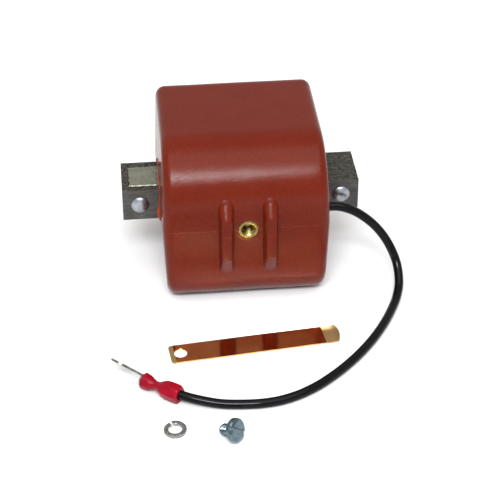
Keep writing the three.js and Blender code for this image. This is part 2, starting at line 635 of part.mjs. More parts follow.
// A slotted pan-head screw lying on its side: the tip and the rim of the head touch the surface.
function contactScrew() {
  const rounding = dome(SCREW_HEAD_RADIUS * 0.35, SCREW_HEAD_HEIGHT - SCREW_HEAD_EDGE, 4)
    .map(([r, h]) => [SCREW_HEAD_RADIUS * 0.65 + r, SCREW_LENGTH + SCREW_HEAD_EDGE + h]);
  const profile = [
    [0, 0], [SCREW_RADIUS - 0.4, 0], [SCREW_RADIUS, 0.4], [SCREW_RADIUS, SCREW_LENGTH],
    [SCREW_HEAD_RADIUS - SCREW_HEAD_FILLET, SCREW_LENGTH],
    [SCREW_HEAD_RADIUS, SCREW_LENGTH + SCREW_HEAD_FILLET],
    ...rounding, [0, SCREW_LENGTH + SCREW_HEAD_HEIGHT + 0.15],
  ];
  const top = SCREW_LENGTH + SCREW_HEAD_HEIGHT;
  const slot = box([-6, top - SLOT_DEPTH, -SLOT_WIDTH / 2], [6, top + 2, SLOT_WIDTH / 2]).rotateY(SLOT_ANGLE);
  const screw = piece('contact_screw', cut(lathe(profile, 28), slot), FINISH.zinc);
  const tilt = Math.atan((SCREW_HEAD_RADIUS - SCREW_RADIUS) / (SCREW_LENGTH + SCREW_HEAD_FILLET));
  screw.rotateZ(SCREW_HEADING - Math.PI / 2);
  screw.rotateX(tilt);
  screw.position.set(SCREW_TIP[0], SCREW_TIP[1], SCREW_RADIUS * Math.cos(tilt));
  return screw;
}

// ---------------------------------------------------------------- assembly

const coil = new THREE.Group();
coil.name = 'ignition_coil';
coil.add(
  housing(),
  ...laminations(),
  rivet('core_rivet_left', -RIVET_X),
  rivet('core_rivet_right', RIVET_X),
  groundFoil(),
  ...windings(),
  ...innerWires(),
  insert(),
  ...leadTail(),
  lead(),
  ringTerminal(),
  contactStrip(),
  lockWasher(),
  contactScrew(),
);

export default coil;
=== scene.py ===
"""The ignition coil's visual model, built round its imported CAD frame, with a floor, soft light and a camera.

Lengths are in millimetres until they reach Blender, where MM turns them into metres. The frame is the CAD's:
X along the core, -Y out of the ribbed front, +Z up.
"""
import math

import bmesh
import bpy
import numpy as np
from mathutils import Matrix, Vector, noise


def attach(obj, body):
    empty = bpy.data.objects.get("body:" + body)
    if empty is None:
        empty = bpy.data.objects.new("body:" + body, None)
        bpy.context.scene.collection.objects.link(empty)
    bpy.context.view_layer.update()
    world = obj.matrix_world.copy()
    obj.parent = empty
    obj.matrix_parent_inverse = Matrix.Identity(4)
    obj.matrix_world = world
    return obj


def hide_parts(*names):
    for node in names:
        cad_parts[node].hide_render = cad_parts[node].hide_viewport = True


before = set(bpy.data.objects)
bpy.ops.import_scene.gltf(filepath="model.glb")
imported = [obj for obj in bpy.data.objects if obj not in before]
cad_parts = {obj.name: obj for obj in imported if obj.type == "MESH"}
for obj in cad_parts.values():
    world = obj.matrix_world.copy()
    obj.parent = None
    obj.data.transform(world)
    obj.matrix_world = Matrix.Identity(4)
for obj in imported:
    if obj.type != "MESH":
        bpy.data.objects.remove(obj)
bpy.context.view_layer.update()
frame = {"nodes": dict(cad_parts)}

MM = 0.001

# ------------------------------------------------------------------ driving dimensions, as in the CAD

CORE_LENGTH, CORE_DEPTH, CORE_HEIGHT, CORE_Z = 84.0, 19.0, 12.1, 31.3
LAMINATIONS, PLATE_THICKNESS = 24, 0.74
RIVET_X, RIVET_HEAD, RIVET_HEAD_HEIGHT, RIVET_SHANK = 35.8, 3.15, 1.25, 1.8
HOUSING_X, HOUSING_WIDTH = 0.4, 58.4
FRONT_Y, BACK_Y, HOUSING_HEIGHT = -28.6, 30.7, 58.9
FRONT_TOP_R, FRONT_BOTTOM_R, BACK_TOP_R, BACK_BOTTOM_R = 21.2, 11.5, 6.3, 4.9
END_EDGE_R = 3.3
# Steps of the flash collar from the housing to the core: clearance, share of its height, brightness.
COLLAR = [(0.95, 0.25, 0.5), (0.62, 1.0, 1.0), (0.30, 1.0, 1.0), (0.06, 0.7, 0.9), (0.05, -2.0, 0.4)]
DRAFT = math.tan(math.radians(2.2))
PARTING_Z, PARTING_HEIGHT, PARTING_WIDTH = 31.45, 0.13, 0.11
# The moulding's long and short waves: height and size. LIP is the rim pressed up round the insert.
SWELL, SWELL_SIZE = 0.10, 17.0
RIPPLE, RIPPLE_SIZE = 0.035, 6.0
LIP = 0.13
# The hole that the insert stands in, from the front face.
SEAT_R, SEAT_DEPTH = 3.35, 5.2
INSERT_X, INSERT_R, INSERT_LENGTH = 0.8, 3.56, 5.4
GATE = (0.0, 7.0)
THREAD_MINOR_R, THREAD_MAJOR_R, THREAD_PITCH = 1.75, 2.08, 0.794
THREAD_DEPTH, COUNTERSINK_R = 4.6, 2.5
RIB_OFFSET, RIB_HEIGHT, RIB_BASE, RIB_CREST = 7.7, 4.5, 5.4, 3.6
RIB_LOW, RIB_HIGH, RIB_LOW_SLOPE, RIB_HIGH_SLOPE = 21.4, 37.7, 1.8, 1.2
NO_RIB = -60.0
LEAD_R, LEAD_Y = 1.6, -17.0

# The lead's route, point for point the CAD's.
LEAD_ROUTE = [
    (29.6, -17, 31.3), (34, -17, 31), (38.9, -17.2, 29.2), (43.8, -17.5, 25.7), (48.6, -17.5, 20.4),
    (52.6, -18.7, 14.1), (54.9, -22.2, 8.5), (55, -27.6, 4.2), (53.2, -33.6, 2.1), (50.4, -39.9, 1.65),
    (46.6, -47.3, 1.65), (41.4, -55.6, 1.65), (35.9, -62.8, 1.65), (30.2, -69.1, 1.65), (24.3, -74.6, 1.65),
    (18.2, -79.3, 1.65), (12, -82.8, 1.65), (5.6, -85, 1.65), (-0.7, -85.8, 1.65), (-7, -85.6, 1.65),
    (-13.4, -84.9, 1.8), (-19.7, -83.4, 2.4), (-25.4, -81.3, 3), (-30.4, -78.1, 3.1),
]

# ------------------------------------------------------------------ camera, floor and light

CAMERA_PLACE = (-40.9, -476.1, 340.2)
CAMERA_TURN, CAMERA_DIP, CAMERA_ROLL = math.radians(5.39), math.radians(35.24), math.radians(-0.17)
CAMERA_LENS = 113.7
SENSOR = 36.0


def link(obj):
    """Puts an object in the scene."""
    bpy.context.scene.collection.objects.link(obj)
    return obj


def camera():
    """A long lens in front of the coil, a little to its left and looking down on it."""
    data = bpy.data.cameras.new("camera")
    data.lens, data.sensor_width, data.clip_start = CAMERA_LENS, SENSOR, 0.01
    eye = link(bpy.data.objects.new("camera", data))
    turn = (Matrix.Rotation(-CAMERA_TURN, 4, "Z") @ Matrix.Rotation(math.pi / 2 - CAMERA_DIP, 4, "X")
            @ Matrix.Rotation(CAMERA_ROLL, 4, "Z"))
    eye.matrix_world = Matrix.Translation(Vector(CAMERA_PLACE) * MM) @ turn
    bpy.context.scene.camera = eye


def softbox(name, place, target, width, height, power, tint, spread=180):
    """A rectangular light in metres and watts, turned to its target; spread is its beam in degrees."""
    data = bpy.data.lights.new(name, "AREA")
    data.shape, data.size, data.size_y, data.energy, data.color = "RECTANGLE", width, height, power, tint
    data.spread = math.radians(spread)
    lamp = link(bpy.data.objects.new(name, data))
    lamp.location = place
    lamp.rotation_euler = (Vector(target) - Vector(place)).to_track_quat("-Z", "Y").to_euler()


def studio():
    """Even light all round, a key high in front, a wide overhead, and a glow on the floor before the coil.

    Straight into the camera the surroundings are white, so that they run into the floor's edge.
    """
    world = bpy.data.worlds.new("studio")
    bpy.context.scene.world = world
    world.use_nodes = True
    nodes, links = world.node_tree.nodes, world.node_tree.links
    shade = nodes["Background"]
    shade.inputs["Strength"].default_value = 1.0
    paths = nodes.new("ShaderNodeLightPath")
    mix = nodes.new("ShaderNodeMix")
    mix.data_type = "RGBA"
    mix.inputs["A"].default_value = (0.72, 0.72, 0.72, 1)
    mix.inputs["B"].default_value = (1.0, 1.0, 1.0, 1)
    links.new(paths.outputs["Is Camera Ray"], mix.inputs["Factor"])
    links.new(mix.outputs["Result"], shade.inputs["Color"])
    softbox("key", (-0.12, -0.87, 0.95), (0, 0, 0.05), 0.5, 0.26, 15.0, (0.93, 0.96, 1.0))
    softbox("overhead", (0.0, -0.45, 1.20), (0, 0, 0.03), 1.6, 1.2, 13.0, (1.0, 0.97, 0.93))
    softbox("floor_glow", (0.0, -0.042, 0.20), (0, -0.042, 0), 0.056, 0.008, 0.035, (1.0, 0.93, 0.86), 1.5)
    bpy.context.scene.view_settings.view_transform = "Standard"


def floor(material):
    size = 2.5
    mesh = bpy.data.meshes.new("floor")
    corners = [(-size, -size, 0), (size, -size, 0), (size, size, 0), (-size, size, 0)]
    mesh.from_pydata(corners, [], [(0, 1, 2, 3)])
    mesh.materials.append(material)
    link(bpy.data.objects.new("floor", mesh))


# ------------------------------------------------------------------ materials

class Paint:
    """A material: what is the same all over goes on the shader's own sockets, the rest comes from nodes."""

    def __init__(self, name, **constants):
        self.material = bpy.data.materials.new(name)
        self.material.use_nodes = True
        self.tree = self.material.node_tree
        self.shader = self.tree.nodes["Principled BSDF"]
        for socket, value in constants.items():
            self.shader.inputs[socket.replace("_", " ")].default_value = value
        self.place = self.node("TexCoord").outputs["Object"]

    def node(self, kind, **settings):
        made = self.tree.nodes.new("ShaderNode" + kind)
        for key, value in settings.items():
            setattr(made, key, value)
        return made

    def feed(self, socket, value):
        if isinstance(value, bpy.types.NodeSocket):
            self.tree.links.new(value, socket)
        else:
            socket.default_value = value

    def stretched(self, scale):
        """The object's coordinates, scaled by axis."""
        made = self.node("Mapping")
        made.inputs["Scale"].default_value = scale
        self.feed(made.inputs["Vector"], self.place)
        return made.outputs["Vector"]

    def noise(self, per_mm, detail=3.0, roughness=0.55, vector=None):
        """Noise with per_mm features to a millimetre, 0 to 1."""
        made = self.node("TexNoise")
        self.feed(made.inputs["Vector"], vector or self.place)
        made.inputs["Scale"].default_value = per_mm / MM if vector is None else per_mm
        made.inputs["Detail"].default_value = detail
        made.inputs["Roughness"].default_value = roughness
        return made.outputs["Fac"]

    def ramp(self, value, low, high, to_low=0.0, to_high=1.0):
        made = self.node("MapRange")
        self.feed(made.inputs["Value"], value)
        for socket, number in zip(("From Min", "From Max", "To Min", "To Max"), (low, high, to_low, to_high)):
            made.inputs[socket].default_value = number
        return made.outputs["Result"]

    def mix(self, factor, a, b):
        made = self.node("Mix", data_type="RGBA")
        self.feed(made.inputs["Factor"], factor)
        for socket, colour in (("A", a), ("B", b)):
            linked = isinstance(colour, bpy.types.NodeSocket)
            self.feed(made.inputs[socket], colour if linked else (*colour, 1))
        return made.outputs["Result"]

    def math(self, operation, a, b):
        made = self.node("Math", operation=operation)
        self.feed(made.inputs[0], a)
        self.feed(made.inputs[1], b)
        return made.outputs[0]

    def attribute(self, name):
        return self.node("Attribute", attribute_name=name).outputs["Fac"]

    def bump(self, height, depth_mm, below=None):
        made = self.node("Bump")
        made.inputs["Distance"].default_value = depth_mm * MM
        made.inputs["Strength"].default_value = 1.0
        self.feed(made.inputs["Height"], height)
        if below is not None:
            self.feed(made.inputs["Normal"], below)
        return made.outputs["Normal"]

    def done(self, colour=None, roughness=None, normal=None):
        for socket, value in (("Base Color", colour), ("Roughness", roughness), ("Normal", normal)):
            if value is not None:
                self.feed(self.shader.inputs[socket], value)
        return self.material


def housing_plastic():
    """Filled polyester moulding: satin, with a fine grain, pale flecks and brighter, thinner flash."""
    p = Paint("housing_plastic", Specular_IOR_Level=0.14)
    cloud = p.noise(0.05, detail=4)
    grain = p.noise(1.6, detail=3, roughness=0.65)
    fleck = p.ramp(p.noise(2.6, detail=1), 0.66, 0.74)
    colour = p.mix(p.ramp(cloud, 0.3, 0.7), (0.102, 0.0090, 0.0024), (0.120, 0.0118, 0.0032))
    colour = p.mix(p.ramp(grain, 0.35, 0.65, 0.0, 0.7), colour, (0.081, 0.0070, 0.0018))
    colour = p.mix(p.math("MULTIPLY", fleck, 0.30), colour, (0.22, 0.050, 0.032))
    colour = p.mix(p.attribute("flash"), colour, (0.33, 0.036, 0.010))
    gloss = p.ramp(p.noise(0.9, detail=3), 0.3, 0.7, 0.17, 0.25)
    normal = p.bump(p.noise(0.32, detail=2), 0.03)
    normal = p.bump(grain, 0.06, normal)
    return p.done(colour, gloss, normal)


def lamination_steel():
    """Sheared silicon steel: dull grey, patchily darker and browner, with painted glints and painted shade
    speckled over the burred cut edges.
    """
    p = Paint("lamination_steel", Metallic=0.85)
    streak = p.noise(1.0, detail=4, vector=p.stretched((250, 900, 2200)))
    blotch = p.noise(0.35, detail=5)
    edge = p.attribute("cut_edge")
    colour = p.mix(p.ramp(streak, 0.3, 0.7), (0.072, 0.070, 0.067), (0.118, 0.116, 0.113))
    colour = p.mix(p.ramp(blotch, 0.45, 0.7, 0, 0.5), colour, (0.055, 0.047, 0.037))
    # Painted glints and painted shade: the cut edges are speckled near-black and pale, standing in for their
    # burrs catching light and lying in shade.
    burr_speckle = p.ramp(p.noise(1.0, detail=4, vector=p.stretched((900, 3600, 1500))), 0.44, 0.62)
    burr_glint_and_shade_colour = p.mix(burr_speckle, (0.008, 0.0065, 0.0045), (0.17, 0.158, 0.125))
    colour = p.mix(edge, colour, burr_glint_and_shade_colour)
    gloss = p.ramp(blotch, 0.3, 0.7, 0.42, 0.62)
    normal = p.bump(streak, 0.012)
    normal = p.bump(p.math("MULTIPLY", burr_speckle, edge), 0.08, normal)
    return p.done(colour, gloss, normal)


def bright_steel(name, colour_low, colour_high, rough_low, rough_high, per_mm=0.8, dents=0.02):
    """Plated steel, mottled between two colours and two roughnesses, with dents that many mm deep."""
    p = Paint(name, Metallic=1.0)
    mottle = p.noise(per_mm, detail=4)
    colour = p.mix(p.ramp(mottle, 0.35, 0.65), colour_low, colour_high)
    gloss = p.ramp(p.noise(per_mm * 2.1, detail=3), 0.3, 0.7, rough_low, rough_high)
    normal = p.bump(mottle, dents)
    normal = p.bump(p.noise(per_mm * 7, detail=2), dents * 0.25, normal)
    return p.done(colour, gloss, normal)


def tinned_foil():
    """Thin tinned foil, smeared along the core and softly dented."""
    p = Paint("tinned_foil", Metallic=0.9)
    smear = p.noise(1.0, detail=4, vector=p.stretched((150, 700, 700)))
    colour = p.mix(p.ramp(smear, 0.3, 0.7), (0.225, 0.232, 0.177), (0.305, 0.311, 0.244))
    gloss = p.ramp(p.noise(0.8), 0.3, 0.7, 0.36, 0.52)
    return p.done(colour, gloss, p.bump(p.noise(0.5, detail=3), 0.05))


def brass():
    """Turned brass with a light stain and fine tool marks."""
    p = Paint("insert_brass", Metallic=1.0)
    stain = p.noise(0.7, detail=4)
    colour = p.mix(p.ramp(stain, 0.35, 0.65), (0.20, 0.155, 0.050), (0.34, 0.27, 0.10))
    gloss = p.ramp(p.noise(2.0), 0.3, 0.7, 0.20, 0.34)
    return p.done(colour, gloss, p.bump(p.noise(4.0, detail=2), 0.006))


def rolled_bronze():
    """Rolled bronze: the mill's fine lines along the strip, tarnished patches, ends rubbed dull in use."""
    p = Paint("rolled_bronze", Metallic=1.0)
    along = math.cos(STRIP_HEADING), math.sin(STRIP_HEADING)
    turned = p.node("Mapping")
    turned.inputs["Rotation"].default_value = (0, 0, -STRIP_HEADING)
    p.feed(turned.inputs["Vector"], p.place)
    stretch = p.node("Mapping")
    stretch.inputs["Scale"].default_value = (60 * along[0], 4200, 4200)
    p.feed(stretch.inputs["Vector"], turned.outputs["Vector"])
    lines = p.noise(1.0, detail=3, vector=stretch.outputs["Vector"])
    tarnish = p.noise(0.22, detail=4)
    colour = p.mix(p.ramp(tarnish, 0.35, 0.7), (0.80, 0.47, 0.175), (0.68, 0.375, 0.13))
    colour = p.mix(p.attribute("rubbed"), colour, (0.46, 0.31, 0.135))
    polished = p.ramp(lines, 0.3, 0.7, 0.07, 0.13)
    gloss = p.math("ADD", polished, p.math("MULTIPLY", p.attribute("rubbed"), 0.42))
    return p.done(colour, gloss, p.bump(lines, 0.0008))


def black_jacket():
    """Glossy black lead insulation, lightly scuffed."""
    p = Paint("black_jacket", Specular_IOR_Level=0.14)
    scuff = p.noise(0.6, detail=5)
    colour = p.mix(p.ramp(scuff, 0.4, 0.7), (0.0020, 0.0021, 0.0026), (0.0036, 0.0037, 0.0043))
    gloss = p.ramp(scuff, 0.35, 0.7, 0.10, 0.18)
    return p.done(colour, gloss, p.bump(p.noise(0.8, detail=2), 0.008))


def red_vinyl():
    """Soft red vinyl that lets a little light in."""
    p = Paint("red_vinyl", Specular_IOR_Level=0.16, Subsurface_Weight=0.1, Subsurface_Scale=0.0012)
    p.shader.inputs["Subsurface Radius"].default_value = (1.0, 0.2, 0.2)
    cloud = p.noise(0.3, detail=3)
    colour = p.mix(p.ramp(cloud, 0.35, 0.65), (0.19, 0.0004, 0.0080), (0.26, 0.0008, 0.012))
    gloss = p.ramp(p.noise(1.0, detail=3), 0.3, 0.7, 0.24, 0.36)
    return p.done(colour, gloss, p.bump(p.noise(0.8, detail=3), 0.05))


def wound_copper():
    """Enamelled wire laid turn beside turn round the core, with painted shade darkening the grooves between
    turns.
    """
    p = Paint("wound_copper", Metallic=0.8)
    turns = p.node("TexWave", wave_type="BANDS", bands_direction="X", wave_profile="SIN")
    p.feed(turns.inputs["Vector"], p.place)
    turns.inputs["Scale"].default_value = 2000
    turns.inputs["Distortion"].default_value = 0.6
    # Painted shade: each turn is darker in the groove beside the next one and full copper on its crown.
    colour = p.mix(turns.outputs["Fac"], (0.16, 0.05, 0.02), (0.56, 0.24, 0.10))
    return p.done(colour, p.ramp(turns.outputs["Fac"], 0, 1, 0.5, 0.3), p.bump(turns.outputs["Fac"], 0.05))


def fibre(name, dark, light):
    """Pressed paper or card: mottled, matt, with short fibres."""
    p = Paint(name)
    strands = p.noise(1.0, detail=5, vector=p.stretched((400, 1500, 1500)))
    colour = p.mix(p.ramp(strands, 0.3, 0.7), dark, light)
    return p.done(colour, p.ramp(strands, 0.3, 0.7, 0.75, 0.9), p.bump(strands, 0.03))


def pale_floor():
    p = Paint("pale_floor", Roughness=0.9)
    p.shader.inputs["Specular IOR Level"].default_value = 0.1
    colour = p.mix(p.noise(0.004, detail=2), (0.74, 0.74, 0.74), (0.76, 0.76, 0.76))
    return p.done(colour)


# ------------------------------------------------------------------ meshes

def face_outward(mesh):
    work = bmesh.new()
    work.from_mesh(mesh)
    bmesh.ops.recalc_face_normals(work, faces=work.faces)
    work.to_mesh(mesh)
    work.free()


def piece(name, verts, faces, material, body, *nodes, sharp=None, attributes=None):
    """A named mesh from millimetre points that rides on a body and stands for CAD nodes."""
    mesh = bpy.data.meshes.new(name)
    mesh.from_pydata((np.asarray(verts, float) * MM).tolist(), [], faces)
    for key, values in (attributes or {}).items():
        mesh.attributes.new(key, "FLOAT", "POINT").data.foreach_set("value", np.asarray(values, float))
    face_outward(mesh)
    return settle(name, mesh, material, body, nodes, sharp)


def settle(name, mesh, material, body, nodes, sharp=None):
    """Gives a finished mesh its material and shading, and ties it to its body and its CAD nodes."""
    mesh.materials.append(material)
    mesh.shade_smooth()
    if sharp is not None:
        mesh.set_sharp_from_angle(angle=math.radians(sharp))
    obj = link(bpy.data.objects.new(name, mesh))
    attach(obj, body)
    if nodes:
        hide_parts(*nodes)
    return obj


def skin(rings, loop=False):
    """Quads between rings of equal length. loop joins last to first; otherwise both ends are closed."""
    rings = np.asarray(rings, float)
    count, size = rings.shape[:2]
    verts = rings.reshape(-1, 3)
    i = np.arange(size)
    j = (i + 1) % size
    faces = []
    for k in range(count if loop else count - 1):
        n = (k + 1) % count
        faces.append(np.stack([k * size + i, k * size + j, n * size + j, n * size + i], 1))
    faces = np.concatenate(faces).tolist()
    if not loop:
        start, end = len(verts), len(verts) + 1
        verts = np.vstack([verts, rings[0].mean(0), rings[-1].mean(0)])
        last = (count - 1) * size
        faces += [(start, b, a) for a, b in zip(i.tolist(), j.tolist())]
        faces += [(end, last + a, last + b) for a, b in zip(i.tolist(), j.tolist())]
    return verts, faces


def merge(*parts):
    """Several (verts, faces) as one."""
    verts, faces, offset = [], [], 0
    for v, f in parts:
        verts.append(np.asarray(v, float))
        faces += [tuple(k + offset for k in face) for face in f]
        offset += len(v)
    return np.vstack(verts), faces


def revolve(profile, segments, place=None, wobble=None):
    """Turns (radius, height) points about +Y; rings run round the axis. wobble changes a ring's radii."""
    angle = np.linspace(0, 2 * np.pi, segments, endpoint=False)
    rings = []
    for k, (radius, height) in enumerate(profile):
        r = np.full(segments, float(radius))
        if wobble is not None:
            r = wobble(k, r, height, angle)
        rings.append(np.stack([r * np.cos(angle), np.full(segments, float(height)), r * np.sin(angle)], 1))
    verts, faces = skin(rings)
    return (verts if place is None else moved(verts, place)), faces


def moved(verts, place):
    """Points through a 4 x 4 matrix in millimetres."""
    matrix = np.array(place)
    return np.asarray(verts) @ matrix[:3, :3].T + matrix[:3, 3]


def wave(points, size, seed=0.0):
    """Smooth noise, about -0.5 to 0.5, with features of the given size, at millimetre points."""
    shift = Vector((seed, seed * 1.7, seed * 2.3))
    return np.array([noise.noise(Vector(p) / size + shift) for p in np.asarray(points).tolist()])


def through(points, per_span=8):
    """A centripetal Catmull-Rom curve through the points."""
    pts = [np.array(p, float) for p in points]
    pts = [2 * pts[0] - pts[1], *pts, 2 * pts[-1] - pts[-2]]
    out = []
    for p0, p1, p2, p3 in zip(pts, pts[1:], pts[2:], pts[3:]):
        t1 = math.sqrt(np.linalg.norm(p1 - p0))
        t2 = t1 + math.sqrt(np.linalg.norm(p2 - p1))
        t3 = t2 + math.sqrt(np.linalg.norm(p3 - p2))
        for t in np.linspace(t1, t2, per_span, endpoint=False):
            a1 = p0 + (p1 - p0) * t / t1
            a2 = p1 + (p2 - p1) * (t - t1) / (t2 - t1)
            a3 = p2 + (p3 - p2) * (t - t2) / (t3 - t2)
            b1 = a1 + (a2 - a1) * t / t2
            b2 = a2 + (a3 - a2) * (t - t1) / (t3 - t1)
            out.append(b1 + (b2 - b1) * (t - t1) / (t2 - t1))
    return np.array([*out, pts[-2]])


def circle(radius, segments, middle=(0.0, 0.0), clockwise=False):
    angle = np.linspace(0, 2 * np.pi, segments, endpoint=False) * (-1 if clockwise else 1)
    return np.stack([middle[0] + radius * np.cos(angle), middle[1] + radius * np.sin(angle)], 1)


def outward(loop):
    """The direction away from the material at each point of a loop that runs round it counter-clockwise."""
    step = np.roll(loop, -1, 0) - np.roll(loop, 1, 0)
    step /= np.linalg.norm(step, axis=1)[:, None]
    return np.stack([step[:, 1], -step[:, 0]], 1)


def slab(outline, holes, low, high, chamfer, cuts=()):
    """A flat plate in XY with chamfered edges. holes run clockwise; cuts adds edges across it at each x."""
    levels = [(chamfer, low), (0, low + chamfer), (0, high - chamfer), (chamfer, high)]
    work = bmesh.new()
    faces_of = {0: [], 3: []}
    for loop in [np.asarray(outline, float), *[np.asarray(h, float) for h in holes]]:
        away = outward(loop)
        rows = []
        for inset, z in levels:
            rows.append([work.verts.new((*(p - a * inset), z)) for p, a in zip(loop, away)])
        for level in range(3):
            for k in range(len(loop)):
                n = (k + 1) % len(loop)
                work.faces.new((rows[level][k], rows[level][n], rows[level + 1][n], rows[level + 1][k]))
        for level in faces_of:
            faces_of[level] += [work.edges.get((rows[level][k], rows[level][(k + 1) % len(loop)]))
                                for k in range(len(loop))]
    for edges in faces_of.values():
        bmesh.ops.triangle_fill(work, use_beauty=True, use_dissolve=False, edges=edges)
    for x in cuts:
        everything = work.verts[:] + work.edges[:] + work.faces[:]
        bmesh.ops.bisect_plane(work, geom=everything, dist=1e-5, plane_co=(x, 0, 0), plane_no=(1, 0, 0))
    work.verts.index_update()
    verts = np.array([v.co[:] for v in work.verts])
    faces = [tuple(v.index for v in f.verts) for f in work.faces]
    work.free()
    return verts, faces


# ------------------------------------------------------------------ housing

def fine_profile():
    """The housing's outline in YZ as closely spaced points with normals, counter-clockwise seen from +X."""
    step = 0.05
    rows = []

    def corner(y, z, r, start):
        angle = np.radians(start + np.linspace(0, 90, max(4, int(r * np.pi / 2 / step))))
        n = np.stack([np.cos(angle), np.sin(angle)], 1)
        rows.append(np.hstack([[y, z] + r * n, n]))

    def straight(a, b, n):
        count = int(math.dist(a, b) / step)
        t = np.linspace(0, 1, count, endpoint=False)[1:, None]
        rows.append(np.hstack([np.array(a) + (np.array(b) - a) * t, np.tile(n, (count - 1, 1))]))

    corner(BACK_Y - BACK_BOTTOM_R, BACK_BOTTOM_R, BACK_BOTTOM_R, -90)
    straight((BACK_Y, BACK_BOTTOM_R), (BACK_Y, HOUSING_HEIGHT - BACK_TOP_R), (1, 0))
    corner(BACK_Y - BACK_TOP_R, HOUSING_HEIGHT - BACK_TOP_R, BACK_TOP_R, 0)
    straight((BACK_Y - BACK_TOP_R, HOUSING_HEIGHT), (FRONT_Y + FRONT_TOP_R, HOUSING_HEIGHT), (0, 1))
    corner(FRONT_Y + FRONT_TOP_R, HOUSING_HEIGHT - FRONT_TOP_R, FRONT_TOP_R, 90)
    straight((FRONT_Y, HOUSING_HEIGHT - FRONT_TOP_R), (FRONT_Y, FRONT_BOTTOM_R), (-1, 0))
    corner(FRONT_Y + FRONT_BOTTOM_R, FRONT_BOTTOM_R, FRONT_BOTTOM_R, 180)
    straight((FRONT_Y + FRONT_BOTTOM_R, 0), (BACK_Y - BACK_BOTTOM_R, 0), (0, -1))
    return np.vstack(rows)


def spread(positions, spacing):
    """Picks indices along sorted positions so that neighbours are about spacing(position) apart."""
    picked, last = [0], positions[0]
    for k, here in enumerate(positions):
        if here - last >= spacing(k):
            picked.append(k)
            last = here
    return picked


def profile_points():
    fine = fine_profile()
    run = np.concatenate([[0], np.cumsum(np.linalg.norm(np.diff(fine[:, :2], axis=0), axis=1))])

    def spacing(k):
        z, ny = fine[k][1:3]
        if abs(ny) > 0.99 and abs(z - PARTING_Z) < 0.6:
            return 0.09
        if ny < -0.6 and 9 < z < 49:
            return 0.33
        return 0.95

    return fine[spread(run, spacing)[:-1]]


def smooth_min(a, b, k):
    """The lower of two heights, blended over k where they cross."""
    t = np.clip(0.5 + 0.5 * (b - a) / k, 0, 1)
    return b + (a - b) * t - k * t * (1 - t)


def rib_height(x, z):
    """How far the two ribs stand out of the front plane at (x, z); NO_RIB or far below 0 away from them."""
    flank = (RIB_BASE - RIB_CREST) / 2 / RIB_HEIGHT
    half = RIB_BASE / 2
    foot, top = RIB_LOW - RIB_HEIGHT * RIB_LOW_SLOPE, RIB_HIGH + RIB_HEIGHT * RIB_HIGH_SLOPE
    best = np.full(np.shape(x), NO_RIB)
    for side in (-1, 1):
        across = x - INSERT_X - side * RIB_OFFSET
        beyond = z - np.clip(z, foot + half, top - half)
        walls = (half - np.hypot(across, beyond)) / flank
        crown = (across / half) ** 2
        crest = RIB_HEIGHT - 0.35 * crown
        upper = RIB_HEIGHT - 0.86 * (z - RIB_HIGH) / RIB_HIGH_SLOPE - 1.5 * crown
        lower = RIB_HEIGHT - 0.92 * (RIB_LOW - z) / RIB_LOW_SLOPE - 0.8 * crown
        h = smooth_min(smooth_min(crest, upper, 0.25), lower, 0.25)
        best = np.maximum(best, smooth_min(h, walls, 2.6))
    return np.where(z > top + 1, NO_RIB, best)


def parting_line(z, strength):
    """How far the thin line of flash stands out where the mould's halves met."""
    return PARTING_HEIGHT * strength * np.exp(-((z - PARTING_Z) / PARTING_WIDTH) ** 2)


def housing_surface(x, y, z, ny, nz):
    """Moves points of the plain drafted block: waves, parting line, ribs, and the seat behind the insert."""
    points = np.stack([x, y, z], 1)
    lift = SWELL * wave(points, SWELL_SIZE) + RIPPLE * wave(points, RIPPLE_SIZE, 3.1)
    patchy = 0.65 + 0.9 * wave(points * [1, 0, 0], 3.0, 5.0)
    lift += parting_line(z, patchy) * (np.abs(ny) > 0.9)
    y, z = y + ny * lift, z + nz * lift
    front = ny < -0.25
    stand = FRONT_Y - y
    ribs = rib_height(x, z) + parting_line(z, 1.0)
    joined = -smooth_min(-ribs, -stand, 0.45)
    radius = np.hypot(x - INSERT_X, z - CORE_Z)
    joined = joined + LIP * np.exp(-((radius - INSERT_R - 0.25) / 0.35) ** 2)
    seat = np.clip((SEAT_R - radius) / 0.3, 0, 1) * SEAT_DEPTH
    y = np.where(front, FRONT_Y - joined + seat, y)
    return x, y, np.maximum(z, 0.0)


def core_rectangle(direction, out, rounding):
    """Where lines from the core's middle cross a rounded rectangle that stands `out` off the core."""
    a, b = CORE_DEPTH / 2 + out, CORE_HEIGHT / 2 + out
    power = 2 + 60 * (1 - rounding)
    scale = ((np.abs(direction[:, 0]) / a) ** power + (np.abs(direction[:, 1]) / b) ** power) ** (-1 / power)
    return direction * scale[:, None]


